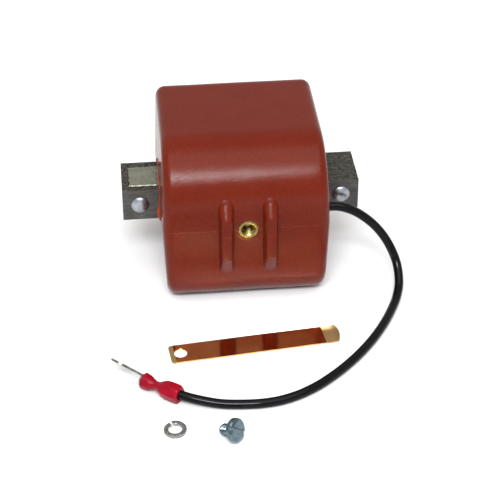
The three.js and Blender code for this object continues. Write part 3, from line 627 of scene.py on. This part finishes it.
def housing(material):
    """Rings of the outline laid along X, closed at both ends by an edge, an end face and a collar of flash."""
    profile = profile_points()
    y0, z0, ny, nz = profile.T
    half = HOUSING_WIDTH / 2 - DRAFT * np.abs(z0 - CORE_Z) - END_EDGE_R
    fine_x = np.arange(-1, 1.0001, 0.002) * (HOUSING_WIDTH / 2 - END_EDGE_R)

    def spacing(k):
        x = fine_x[k] + HOUSING_X - INSERT_X
        if abs(abs(x) - RIB_OFFSET) < 3.3:
            return 0.13 if abs(abs(x) - RIB_OFFSET) > 1.6 else 0.24
        return 0.34 if abs(x) < 4.6 else 0.95

    share = fine_x[spread(fine_x, spacing)] / fine_x[-1]
    share[-1] = 1.0
    middle = []
    for s in share:
        x, y, z = housing_surface(HOUSING_X + s * half, y0, z0, ny, nz)
        middle.append(np.stack([x, y, z], 1))

    def end(side):
        """An end's rings, from the middle outwards and then in to the core, and how bright its flash is."""
        rings, flash = [], []
        for t in np.linspace(0, np.pi / 2, 8)[1:]:
            inset = END_EDGE_R * (1 - np.cos(t))
            yy, zz = y0 - ny * inset, z0 - nz * inset
            reach = HOUSING_WIDTH / 2 - DRAFT * np.abs(zz - CORE_Z) - END_EDGE_R * (1 - np.sin(t))
            lift = SWELL * wave(np.stack([HOUSING_X + side * half, y0, z0], 1), SWELL_SIZE)
            rings.append(np.stack([HOUSING_X + side * reach, yy + ny * lift, zz + nz * lift], 1))
            flash.append(np.zeros(len(yy)))
        # The end face runs in from its rim to the core, with a raised ring round the lead.
        rim = rings[-1][:, 1:]
        aim = rim - [0, CORE_Z]
        foot = core_rectangle(aim, 1.0, 0.5) + [0, CORE_Z]
        for u in np.linspace(0, 1, 23)[1:]:
            yz = rim + (foot - rim) * u
            x = HOUSING_WIDTH / 2 - DRAFT * np.abs(yz[:, 1] - CORE_Z)
            flat = np.stack([x, yz[:, 0], yz[:, 1]], 1)
            x = x + 0.09 * wave(flat, 9.0, 7.0 + side) + parting_line(yz[:, 1], 0.6)
            if side > 0:
                around = np.hypot(yz[:, 0] - LEAD_Y, yz[:, 1] - CORE_Z)
                x = x + 0.55 * np.exp(-((around - LEAD_R - 0.15) / 0.45) ** 2)
            rings.append(np.stack([HOUSING_X + side * x, yz[:, 0], yz[:, 1]], 1))
            flash.append(np.zeros(len(yz)))
        # The collar: ragged flash that crept along the core, with a heavier blob low on the left.
        base = rings[-1][:, 0]
        ragged = wave(np.stack([foot[:, 0], foot[:, 1], np.full(len(foot), side * 9.0)], 1), 3.6, 1.0)
        height = 0.42 + 0.6 * ragged
        blob = np.exp(-((foot[:, 0] + 10.4) / 1.1) ** 2) * np.exp(-((foot[:, 1] - 27.5) / 2.6) ** 2)
        height = np.clip(height, 0.12, 0.9) + (0.75 * blob if side < 0 else 0)
        for out, rise, glow in COLLAR:
            yz = core_rectangle(aim, out, 0.15) + [0, CORE_Z]
            x = base + side * height * rise if rise > 0 else base + side * rise
            rings.append(np.stack([x, yz[:, 0], yz[:, 1]], 1))
            flash.append(np.full(len(yz), glow))
        return rings, flash

    left, left_flash = end(-1)
    right, right_flash = end(1)
    rings = left[::-1] + middle + right
    seam = 0.5 * np.exp(-((z0 - PARTING_Z) / 0.12) ** 2)
    flash = left_flash[::-1]
    for ring in middle:
        x = ring[0, 0]
        patchy = 0.25 + 0.6 * wave([(x, 0, 0)], 2.5, 5.0)[0] + 0.6 * math.exp(-((x - INSERT_X) / 5.0) ** 2)
        flash.append(seam * patchy)
    flash += right_flash
    verts, faces = skin(rings, loop=True)
    obj = piece("moulded_housing_skin", verts, faces, material, "coil", "moulded_housing",
                attributes={"flash": np.concatenate(flash)})


def gate_vestige(material):
    """The small round scar of the moulding gate on the housing's top."""
    scar = [(0.02, 0.16), (0.22, 0.15), (0.34, 0.07), (0.44, 0.10)]
    scar += [(0.56, 0.08), (0.66, -0.02), (0.7, -0.4), (0.02, -0.4)]
    place = Matrix.Translation((*GATE, HOUSING_HEIGHT)) @ Matrix.Rotation(math.pi / 2, 4, "X")
    verts, faces = revolve(scar, 28, place)
    piece("gate_vestige", verts, faces, material, "coil", sharp=40)


# ------------------------------------------------------------------ core, rivets and foil

def upright(points):
    """Turns a plate drawn in XY so that its Y is up and its thickness runs to -Y."""
    x, y, z = np.asarray(points).T
    return np.stack([x, -z, y], 1)


def laminations(material):
    """Sheared plates, each a little short or low of the next, with wavering edges."""
    rng = np.random.default_rng(7)
    pitch = CORE_DEPTH / LAMINATIONS
    a, b = CORE_LENGTH / 2, CORE_HEIGHT / 2
    cuts = np.arange(-a + 1.5, a, 1.5)
    for k in range(LAMINATIONS):
        drop = rng.uniform(-0.16, 0.0)
        front = 0.0 if k == 0 else 1.0
        ends = a - 0.03 - rng.uniform(0, 0.12, 2) * front
        outline = [(-ends[0], -b), (ends[1], -b), (ends[1], b + drop), (-ends[0], b + drop)]
        holes = [circle(RIVET_SHANK + 0.1, 28, (side * RIVET_X, 0), clockwise=True) for side in (-1, 1)]
        verts, faces = slab(outline, holes, -PLATE_THICKNESS, 0, 0.05, cuts)
        edge = ((verts[:, 2] > -PLATE_THICKNESS + 1e-4) & (verts[:, 2] < -1e-4)).astype(float)
        verts[:, 1] += edge * 0.05 * wave(verts + [0, 0, 9 * k], 1.7, 4.0)
        verts[:, 2] -= 0.03 * wave(verts * [1, 1, 0], 14.0, 2.0)
        place = upright(verts) + [0, -CORE_DEPTH / 2 + k * pitch, CORE_Z]
        name = f"core_lamination_{k + 1:02d}"
        obj = piece("sheared_" + name, place, faces, material, "coil", name, sharp=35,
                    attributes={"cut_edge": edge})


def rivet(side, material):
    """A round-headed rivet: each head is a spherical cap on a thin, softened rim."""
    base, rim = CORE_DEPTH / 2 + 0.04, 0.16
    cap = RIVET_HEAD_HEIGHT - rim
    ball = (RIVET_HEAD ** 2 + cap ** 2) / (2 * cap)
    dome = [(RIVET_HEAD - 0.04, 0.0), (RIVET_HEAD, rim * 0.5)]
    for r in np.linspace(RIVET_HEAD - 0.05, 0.01, 26):
        dome.append((r, rim + math.sqrt(ball ** 2 - r ** 2) - ball + cap))
    front = [(r, -base - h) for r, h in dome[::-1]]
    back = [(r, base + h) for r, h in dome]
    profile = [*front, (RIVET_SHANK, -base + 0.02), (RIVET_SHANK, base - 0.02), *back]
    verts, faces = revolve(profile, 72, Matrix.Translation((side * RIVET_X, 0, CORE_Z)))
    word = "left" if side < 0 else "right"
    obj = piece(f"rivet_domed_{word}", verts, faces, material, "coil", f"core_rivet_{word}", sharp=50)


def thick(top, bottom):
    """A closed sheet between two grids of points."""
    top, bottom = np.asarray(top, float), np.asarray(bottom, float)
    rows, cols = top.shape[:2]
    index = np.arange(rows * cols).reshape(rows, cols)
    lower = index + rows * cols

    def quads(a, b, c, d):
        return np.stack([x.ravel() for x in (a, b, c, d)], 1).tolist()

    faces = quads(index[:-1, :-1], index[1:, :-1], index[1:, 1:], index[:-1, 1:])
    faces += quads(lower[:-1, :-1], lower[:-1, 1:], lower[1:, 1:], lower[1:, :-1])
    for line, under in ((index[0], lower[0]), (index[:, -1], lower[:, -1]),
                        (index[-1, ::-1], lower[-1, ::-1]), (index[::-1, 0], lower[::-1, 0])):
        faces += quads(line[:-1], line[1:], under[1:], under[:-1])
    return np.vstack([top.reshape(-1, 3), bottom.reshape(-1, 3)]), faces


def foil(material):
    """Foil pressed over the plates' edges: it shows their steps and turns up inside the housing."""
    outer_x, housing_end, tab_x, top, width, middle = -39.3, -29.5, -27.0, 46.0, 12.6, -0.8
    floor_z, gauge = CORE_Z + CORE_HEIGHT / 2 + 0.04, 0.2
    lying = [(x, floor_z) for x in np.linspace(outer_x, tab_x - 0.5, 64)]
    rising = [(tab_x, z) for z in np.linspace(floor_z + 0.5, top, 20)]
    path = np.array(lying + rising)
    columns = 66
    across = np.linspace(-width / 2, width / 2, columns)
    step = np.gradient(path, axis=0)
    step /= np.linalg.norm(step, axis=1)[:, None]
    normal = np.stack([-step[:, 1], step[:, 0]], 1)
    low, high = [], []
    for (x, z), (nx, nz) in zip(path, normal):
        points = np.stack([np.full(columns, x), middle + across, np.full(columns, z)], 1)
        ragged = 0.35 * wave(points * [0, 1, 0], 1.6, 8.0) * (x < outer_x + 1.2)
        side = 0.16 * np.sign(across) * wave(points * [1, 0, 0], 1.1, 2.0) * (np.abs(across) > 5.9)
        plates = 0.05 * np.abs(np.sin((middle + across + CORE_DEPTH / 2) * math.pi * LAMINATIONS / CORE_DEPTH))
        folded_edge = 0.20 * np.exp(-((across + 5.95) / 0.17) ** 2)
        creases = 0.16 * np.clip(wave(points, 1.5, 6.0), 0, 1) + 0.12 * np.clip(wave(points, 0.6, 4.0), 0, 1)
        lift = (plates + folded_edge + creases) * (x <= housing_end)
        sheet = points + np.stack([nx * lift + ragged, side, nz * lift], 1)
        low.append(sheet)
        high.append(sheet + np.array([nx, 0, nz]) * gauge)
    verts, faces = thick(high, low)
    piece("pressed_foil", verts, faces, material, "coil", "ground_foil", sharp=60)


# ------------------------------------------------------------------ high-voltage insert

def thread(height, angle, start, depth):
    """A V thread's radius gain at a height and an angle, running out over one pitch from where it starts."""
    turn = ((height - start) / THREAD_PITCH - angle / (2 * np.pi)) % 1.0
    return depth * (1 - np.abs(2 * turn - 1))


def insert(material):
    proud = 0.12
    face = FRONT_Y - proud
    bottom = FRONT_Y + THREAD_DEPTH
    bore = [(THREAD_MINOR_R, y) for y in np.arange(bottom, face + 0.62, -0.055)]
    inside = [(0.02, bottom + 0.55), (THREAD_MINOR_R * 0.6, bottom + 0.3)]
    bevel = [(THREAD_MAJOR_R, face + 0.55), (COUNTERSINK_R - 0.06, face + 0.08), (COUNTERSINK_R + 0.04, face)]
    ring = [(r, face) for r in np.linspace(COUNTERSINK_R + 0.2, INSERT_R - 0.22, 5)]
    edge = [(INSERT_R - 0.12, face + 0.03), (INSERT_R - 0.02, face + 0.12), (INSERT_R, face + 0.3)]
    back = FRONT_Y + INSERT_LENGTH
    sides = [(INSERT_R, y) for y in np.linspace(face + 0.6, back - 0.3, 9)]
    profile = inside + bore + bevel + ring + edge + sides + [(INSERT_R - 0.3, back), (0.02, back)]
    threaded = range(len(inside), len(inside) + len(bore))
    knurled = len(profile) - len(edge) - len(sides) - 2

    def shape(k, r, height, angle):
        if k in threaded:
            return r + thread(height, angle, bottom, THREAD_MAJOR_R - THREAD_MINOR_R)
        if knurled <= k < len(profile) - 2:
            return r - 0.085 * (1 + np.cos(34 * angle)) * (0.6 + 0.8 * (k > knurled))
        return r

    verts, faces = revolve(profile, 272, Matrix.Translation((INSERT_X, 0, CORE_Z)), shape)
    obj = piece("insert_knurled", verts, faces, material, "coil", "high_voltage_insert", sharp=40)


# ------------------------------------------------------------------ primary lead and its terminal

TERMINAL_PLACE = (-26.4, -81.1, 3.1)
TERMINAL_HEADING, TERMINAL_ROLL = math.radians(143.2), math.radians(47.5)
SLEEVE_OUTLINE = [(0.4, 2.75), (1.5, 3), (6.3, 2.85), (9, 1.8), (10.2, 1.75), (12.3, 2.45), (14.7, 2.8)]
SLEEVE_WALL, BARREL_WALL = 0.45, 0.35
RING_X, RING_R, STUD_R = 25.0, 3.9, 2.15
TONGUE_Z, TONGUE_TILT, TONGUE_THICKNESS, TONGUE_WIDTH = 1.45, math.radians(5), 0.8, 4.2


def terminal_frame():
    """From the terminal's own frame, +X from wire to ring and +Z square to the tongue."""
    return (Matrix.Translation(TERMINAL_PLACE) @ Matrix.Rotation(TERMINAL_HEADING, 4, "Z")
            @ Matrix.Rotation(TERMINAL_ROLL, 4, "X"))


def sleeve_radius(x):
    """The sleeve's outside radius before the crimp's facets."""
    xs, rs = zip(*SLEEVE_OUTLINE)
    smooth = through([(a, b, 0) for a, b in zip(xs, rs)], 12)
    return np.interp(x, smooth[:, 0], smooth[:, 1])


def crimp(x, angle):
    """Flattens the waist between the crimping jaws and leaves long facets on both sides of it."""
    waist = math.exp(-((x - 9.6) / 1.9) ** 2)
    facets = np.cos(np.pi / 6) / np.cos((angle - 0.35) % (np.pi / 3) - np.pi / 6)
    share = 0.85 * np.clip((8.6 - x) / 2.5, 0, 1) + 0.45 * np.clip((x - 11.0) / 2.0, 0, 1)
    return (1 + 0.11 * waist * np.cos(2 * (angle - 0.25))) * (1 + share * (facets * 1.07 - 1))


def sleeve(material):
    """A vinyl sleeve: shrunk close round the lead at its rear, open and sharp-edged at its front."""
    size = 108
    angle = np.linspace(0, 2 * np.pi, size, endpoint=False)
    rear, front = SLEEVE_OUTLINE[0][0], SLEEVE_OUTLINE[-1][0]
    along = np.linspace(rear, front, 76)

    def ring(x, r):
        around = np.stack([np.full(size, x), r * np.cos(angle), r * np.sin(angle)], 1)
        return around * np.stack([np.ones(size), *[1 + 0.03 * wave(around, 2.4, 11.0)] * 2], 1)

    rings = [ring(rear - 0.02, np.full(size, LEAD_R + 0.06))]
    rings.append(ring(rear, (sleeve_radius(rear) - 0.25) * crimp(rear, angle)))
    for x in along:
        softened = 0.10 * math.exp(-((x - rear) / 0.2) ** 2)
        rings.append(ring(x, (sleeve_radius(x) - softened) * crimp(x, angle)))
    rings.append(ring(front + 0.02, (sleeve_radius(front) - SLEEVE_WALL) * crimp(front, angle)))
    inner = along[(along > rear + 0.5)][::-1]
    rings += [ring(x, (sleeve_radius(x) - SLEEVE_WALL) * crimp(x, angle)) for x in inner]
    rings.append(ring(rear + 0.45, np.full(size, LEAD_R + 0.06)))
    verts, faces = skin(rings, loop=True)
    obj = piece("crimped_sleeve", moved(verts, terminal_frame()), faces, material, "coil",
                "terminal_sleeve", sharp=24)
    return obj


def ring_terminal(material):
    """A rolled barrel with its seam, and a tongue blanked with a round eye."""
    angle = np.linspace(0, 2 * np.pi, 72, endpoint=False)
    inset = SLEEVE_WALL + 0.12
    nose = SLEEVE_OUTLINE[-1][0] + 0.7
    mouth = SLEEVE_OUTLINE[-1][0]
    along = np.append(np.linspace(SLEEVE_OUTLINE[3][0], mouth, 25), nose)
    rings = []
    for wall in (0, BARREL_WALL):
        for x in along if wall == 0 else along[::-1]:
            r = (sleeve_radius(min(x, mouth)) - inset - wall) * crimp(min(x, 11.0), angle)
            seam = 1 - 0.05 * np.exp(-((angle - 3 * np.pi / 2) / 0.05) ** 2)
            rings.append(np.stack([np.full(72, x), r * seam * np.cos(angle), r * seam * np.sin(angle)], 1))
    barrel = skin(rings, loop=True)
    start, half = SLEEVE_OUTLINE[-1][0] + 0.35, TONGUE_WIDTH / 2
    meet = math.asin(half / RING_R)
    arc = np.linspace(np.pi + meet, 3 * np.pi - meet, 60)
    eye = np.stack([RING_X + RING_R * np.cos(arc), RING_R * np.sin(arc)], 1)
    neck = [(start, -half), *[(start + (RING_X - 3.6 - start) * t, -half) for t in (0.33, 0.66)]]
    outline = [*neck, *eye.tolist(), *[(x, -y) for x, y in neck[::-1]]]
    hole = circle(STUD_R, 48, (RING_X, 0), clockwise=True)
    flat = TONGUE_THICKNESS / 2
    verts, faces = slab(outline, [hole], -flat, flat, 0.09, np.arange(16, 28, 1.0))
    bend = Matrix.Translation((start, 0, TONGUE_Z)) @ Matrix.Rotation(-TONGUE_TILT, 4, "Y")
    verts = moved(verts - [start, 0, 0], bend)
    verts[:, 2] += 0.03 * wave(verts, 4.0, 1.0)
    verts, faces = merge(barrel, (verts, faces))
    obj = piece("ring_terminal_stamped", moved(verts, terminal_frame()), faces, material, "coil",
                "ring_terminal", sharp=35)
    return obj


def strands(material):
    """Bare strands through the barrel, cut off unevenly just past its nose."""
    rng = np.random.default_rng(3)
    parts = []
    wires = [(0.0, 0.0)]
    wires += [(0.36, a) for a in np.arange(6) * np.pi / 3]
    wires += [(0.70, a) for a in np.arange(12) * np.pi / 6]
    for out, turn in wires:
        end = SLEEVE_OUTLINE[-1][0] + 0.5 - rng.uniform(0.0, 0.35)
        xs = np.linspace(7.6, end, 30)
        twist = turn + xs * 0.16
        line = np.stack([xs, out * np.cos(twist), out * np.sin(twist)], 1)
        ring = circle(0.17, 8)
        parts.append(skin([np.hstack([np.zeros((8, 1)), ring]) + p for p in line]))
    verts, faces = merge(*parts)
    obj = piece("bare_strands", moved(verts, terminal_frame()), faces, material, "coil",
                "terminal_strands", sharp=50)
    return obj


def lead(material):
    """The jacketed lead as one smooth curve on the CAD's route, and its length in metres."""
    line = through(LEAD_ROUTE, 6) * MM
    data = bpy.data.curves.new("lead", "CURVE")
    data.dimensions, data.bevel_depth, data.bevel_resolution = "3D", LEAD_R * MM, 10
    data.use_fill_caps = True
    spline = data.splines.new("POLY")
    spline.points.add(len(line) - 1)
    for point, place in zip(spline.points, line):
        point.co = (*place, 1)
    spline.use_smooth = True
    data.materials.append(material)
    obj = link(bpy.data.objects.new("lead_jacketed", data))
    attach(obj, "coil")
    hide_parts("primary_lead")
    return obj, float(np.linalg.norm(np.diff(line, axis=0), axis=1).sum())


# ------------------------------------------------------------------ loose hardware

STRIP_PLACE, STRIP_HEADING = (-28.3, -60.9, 0.0), 0.11
STRIP_LENGTH, STRIP_WIDTH, STRIP_GAUGE = 59.4, 9.5, 0.4
STRIP_HOLE_X, STRIP_HOLE_R, STRIP_TIP, STRIP_RISE, STRIP_BULGE = 3.7, 2.2, 2.4, 0.7, 1.0


def strip(material):
    """A spring strip: clipped corners and a clean hole at one end, a rounded, turned-up tip at the other."""
    half = STRIP_WIDTH / 2
    radius = (half ** 2 + STRIP_BULGE ** 2) / (2 * STRIP_BULGE)
    reach = math.asin(half / radius)
    tip = [(STRIP_LENGTH - radius + radius * math.cos(a), half + radius * math.sin(a))
           for a in np.linspace(-reach, reach, 30)]
    clipped = [(0, 1.1), (0.12, 0.7), (0.35, 0.35), (0.7, 0.12), (1.1, 0)]
    outline = [*clipped, *tip, *[(x, STRIP_WIDTH - y) for x, y in clipped[::-1]]]
    hole = circle(STRIP_HOLE_R, 56, (STRIP_HOLE_X, half), clockwise=True)
    bend = STRIP_LENGTH - STRIP_TIP
    rubbed_low, rubbed_high = 1.5, STRIP_LENGTH - 5.5
    cuts = np.concatenate([[rubbed_low, rubbed_low + 0.3], np.arange(8, rubbed_high - 0.5, 1.0),
                           [rubbed_high, rubbed_high + 0.12], np.arange(bend - 0.9, STRIP_LENGTH, 0.15)])
    verts, faces = slab(outline, [hole], 0, STRIP_GAUGE, 0.05, cuts)
    x = verts[:, 0]
    rubbed = np.interp(x, [rubbed_low, rubbed_low + 0.3, rubbed_high, rubbed_high + 0.12], [1, 0, 0, 1])
    past = np.clip(x - bend, 0, None)
    verts[:, 2] += STRIP_RISE * (past / STRIP_TIP) ** 1.6
    verts[:, 2] += 0.02 + 0.035 * (wave(verts * [1, 1, 0], 13.0, 3.0) + 0.5)
    place = Matrix.Translation(STRIP_PLACE) @ Matrix.Rotation(STRIP_HEADING, 4, "Z")
    obj = piece("spring_strip", moved(verts, place), faces, material, "strip", "contact_strip", sharp=30,
                attributes={"rubbed": rubbed})


WASHER_PLACE, WASHER_INNER, WASHER_OUTER, WASHER_GAUGE = (-29.2, -94.7, 0), 2.3, 3.7, 1.0
WASHER_SPLIT, WASHER_SPLIT_HEADING, WASHER_SPRING = math.radians(10), math.radians(108), 0.35


def washer(material):
    """A split spring washer: rounded corners, a slanted cut, one end sprung up."""
    soft, gauge = 0.14, WASHER_GAUGE
    middle, half = (WASHER_INNER + WASHER_OUTER) / 2, (WASHER_OUTER - WASHER_INNER) / 2
    corner = np.linspace(0, np.pi / 2, 5)
    section = []
    for sx, sy, start in ((1, 1, 0), (-1, 1, 1), (-1, -1, 2), (1, -1, 3)):
        for t in corner + start * np.pi / 2:
            across, up = sx * (half - soft), sy * (gauge / 2 - soft)
            section.append((across + soft * math.cos(t), up + soft * math.sin(t)))
    section = np.array(section)
    rings = []
    for share in np.linspace(0, 1, 120):
        angle = WASHER_SPLIT_HEADING + WASHER_SPLIT / 2 + (2 * np.pi - WASHER_SPLIT) * share
        tilt = (section[:, 1] / gauge) * 0.16
        r = middle + section[:, 0]
        a = angle + tilt
        z = gauge / 2 + section[:, 1] + WASHER_SPRING * share
        rings.append(np.stack([r * np.cos(a), r * np.sin(a), z], 1))
    verts, faces = skin(rings)
    verts = verts + 0.03 * wave(verts, 1.2, 6.0)[:, None] * np.array([1, 1, 0])
    verts = moved(verts, Matrix.Translation(WASHER_PLACE))
    obj = piece("split_washer", verts, faces, material, "washer", "lock_washer", sharp=40)


SCREW_TIP, SCREW_HEADING = (-14.4, -97.5), math.radians(-37)
SCREW_R, SCREW_LENGTH, SCREW_THREAD = 2.05, 4.8, 0.33
SCREW_HEAD_R, SCREW_HEAD_EDGE, SCREW_HEAD_HEIGHT, SCREW_CROWN = 4.0, 1.1, 2.1, 0.12
SLOT_WIDTH, SLOT_DEPTH, SLOT_TURN = 1.2, 1.1, math.radians(-46)


def screw_blank():
    """The screw before its slot is cut, turned about +Y from its tip at 0 to the top of its head."""
    shank, length, head, flat = SCREW_R, SCREW_LENGTH, SCREW_HEAD_R, SCREW_HEAD_R * 0.65
    shoulder, crest = length + SCREW_HEAD_EDGE, length + SCREW_HEAD_HEIGHT
    start = [(0.02, 0), (shank - 0.75, 0), (shank - 0.45, 0.22)]
    turns = [(shank - SCREW_THREAD, y) for y in np.arange(0.45, length - 0.35, 0.05)]
    under = [(shank - 0.2, length - 0.15), (shank + 0.1, length), (head - 0.25, length)]
    under += [(head - 0.04, length + 0.08), (head, length + 0.22), (head, shoulder - 0.25)]
    crown = [(flat + (head - flat) * math.cos(t), shoulder + (crest - shoulder) * math.sin(t))
             for t in np.linspace(0, np.pi / 2, 12)]
    top = [(r, crest + SCREW_CROWN * (1 - (r / flat) ** 2)) for r in np.linspace(head * 0.6, 0.02, 14)]
    threaded = range(len(start), len(start) + len(turns))

    def shape(k, r, height, angle):
        if k in threaded:
            fade = np.clip((height - 0.3) / 0.8, 0.1, 1)
            return r + thread(height, angle, 0.45, SCREW_THREAD) * fade
        return r

    return revolve(start + turns + under + crown + top, 96, None, shape)


def slot_block():
    """The block that the slot leaves out of the head."""
    low, high = SCREW_LENGTH + SCREW_HEAD_HEIGHT - SLOT_DEPTH, SCREW_LENGTH + SCREW_HEAD_HEIGHT + 2
    reach, half = 6.0, SLOT_WIDTH / 2
    corners = np.array([(a, b, c) for a in (-reach, reach) for b in (low, high) for c in (-half, half)])
    quads = [(0, 1, 3, 2), (4, 6, 7, 5), (0, 4, 5, 1), (2, 3, 7, 6), (0, 2, 6, 4), (1, 5, 7, 3)]
    return moved(corners, Matrix.Rotation(SLOT_TURN, 4, "Y")), quads


def loose_mesh(name, verts, faces):
    mesh = bpy.data.meshes.new(name)
    mesh.from_pydata((verts * MM).tolist(), [], faces)
    face_outward(mesh)
    return link(bpy.data.objects.new(name, mesh))


def screw(material):
    """A slotted pan-head machine screw on its side, resting on its tip and the rim of its head."""
    blank = loose_mesh("screw_blank", *screw_blank())
    cutter = loose_mesh("slot_cutter", *slot_block())
    boolean = blank.modifiers.new("slot", "BOOLEAN")
    boolean.operation, boolean.object, boolean.solver = "DIFFERENCE", cutter, "EXACT"
    cut = bpy.data.meshes.new_from_object(blank.evaluated_get(bpy.context.evaluated_depsgraph_get()))
    bpy.data.objects.remove(blank)
    bpy.data.objects.remove(cutter)
    tilt = math.atan((SCREW_HEAD_R - SCREW_R) / (SCREW_LENGTH + 0.1))
    turned = Matrix.Rotation(SCREW_HEADING - math.pi / 2, 4, "Z") @ Matrix.Rotation(tilt, 4, "X")
    cut.transform(Matrix.Translation(Vector((*SCREW_TIP, SCREW_R * math.cos(tilt))) * MM) @ turned)
    obj = settle("machine_screw", cut, material, "screw", ["contact_screw"], sharp=38)


# ------------------------------------------------------------------ what is inside the housing

def hidden_pieces(frame, paints):
    """The windings and wires keep the CAD's shape and take a finish of their own."""
    for name, paint in paints.items():
        mesh = frame["nodes"][name].data
        mesh.materials.clear()
        mesh.materials.append(paint)


def main():
    camera()
    jacket = black_jacket()
    cord, length = lead(jacket)
    copper = wound_copper()
    tin = bright_steel("tinned_brass", (0.16, 0.155, 0.135), (0.32, 0.31, 0.28), 0.2, 0.34)
    pieces = [sleeve(red_vinyl()), ring_terminal(tin), strands(copper)]
    plastic = housing_plastic()
    housing(plastic)
    gate_vestige(plastic)
    laminations(lamination_steel())
    polish = bright_steel("rivet_steel", (0.28, 0.295, 0.325), (0.40, 0.415, 0.445), 0.28, 0.38, 0.5, 0.03)
    rivet(-1, polish)
    rivet(1, polish)
    foil(tinned_foil())
    insert(brass())
    strip(rolled_bronze())
    washer(bright_steel("dull_zinc", (0.15, 0.155, 0.145), (0.38, 0.39, 0.37), 0.16, 0.28, 1.1, 0.03))
    screw(bright_steel("blued_zinc", (0.09, 0.126, 0.147), (0.155, 0.21, 0.24), 0.12, 0.24, 0.8, 0.03))
    form = fibre("card_form", (0.20, 0.15, 0.09), (0.32, 0.25, 0.16))
    paper = fibre("layer_paper", (0.42, 0.33, 0.2), (0.6, 0.5, 0.33))
    hidden_pieces(frame, {
        "coil_form": form, "primary_winding": copper, "interwinding_insulation": paper,
        "secondary_winding": copper, "outer_insulation_wrap": paper, "primary_start_wire": copper,
        "secondary_start_wire": copper, "primary_end_wire": copper, "high_voltage_wire": copper,
        "lead_tail": jacket, "lead_inner_strands": copper, "splice_ferrule": brass(),
    })
    floor(pale_floor())
    studio()


main()
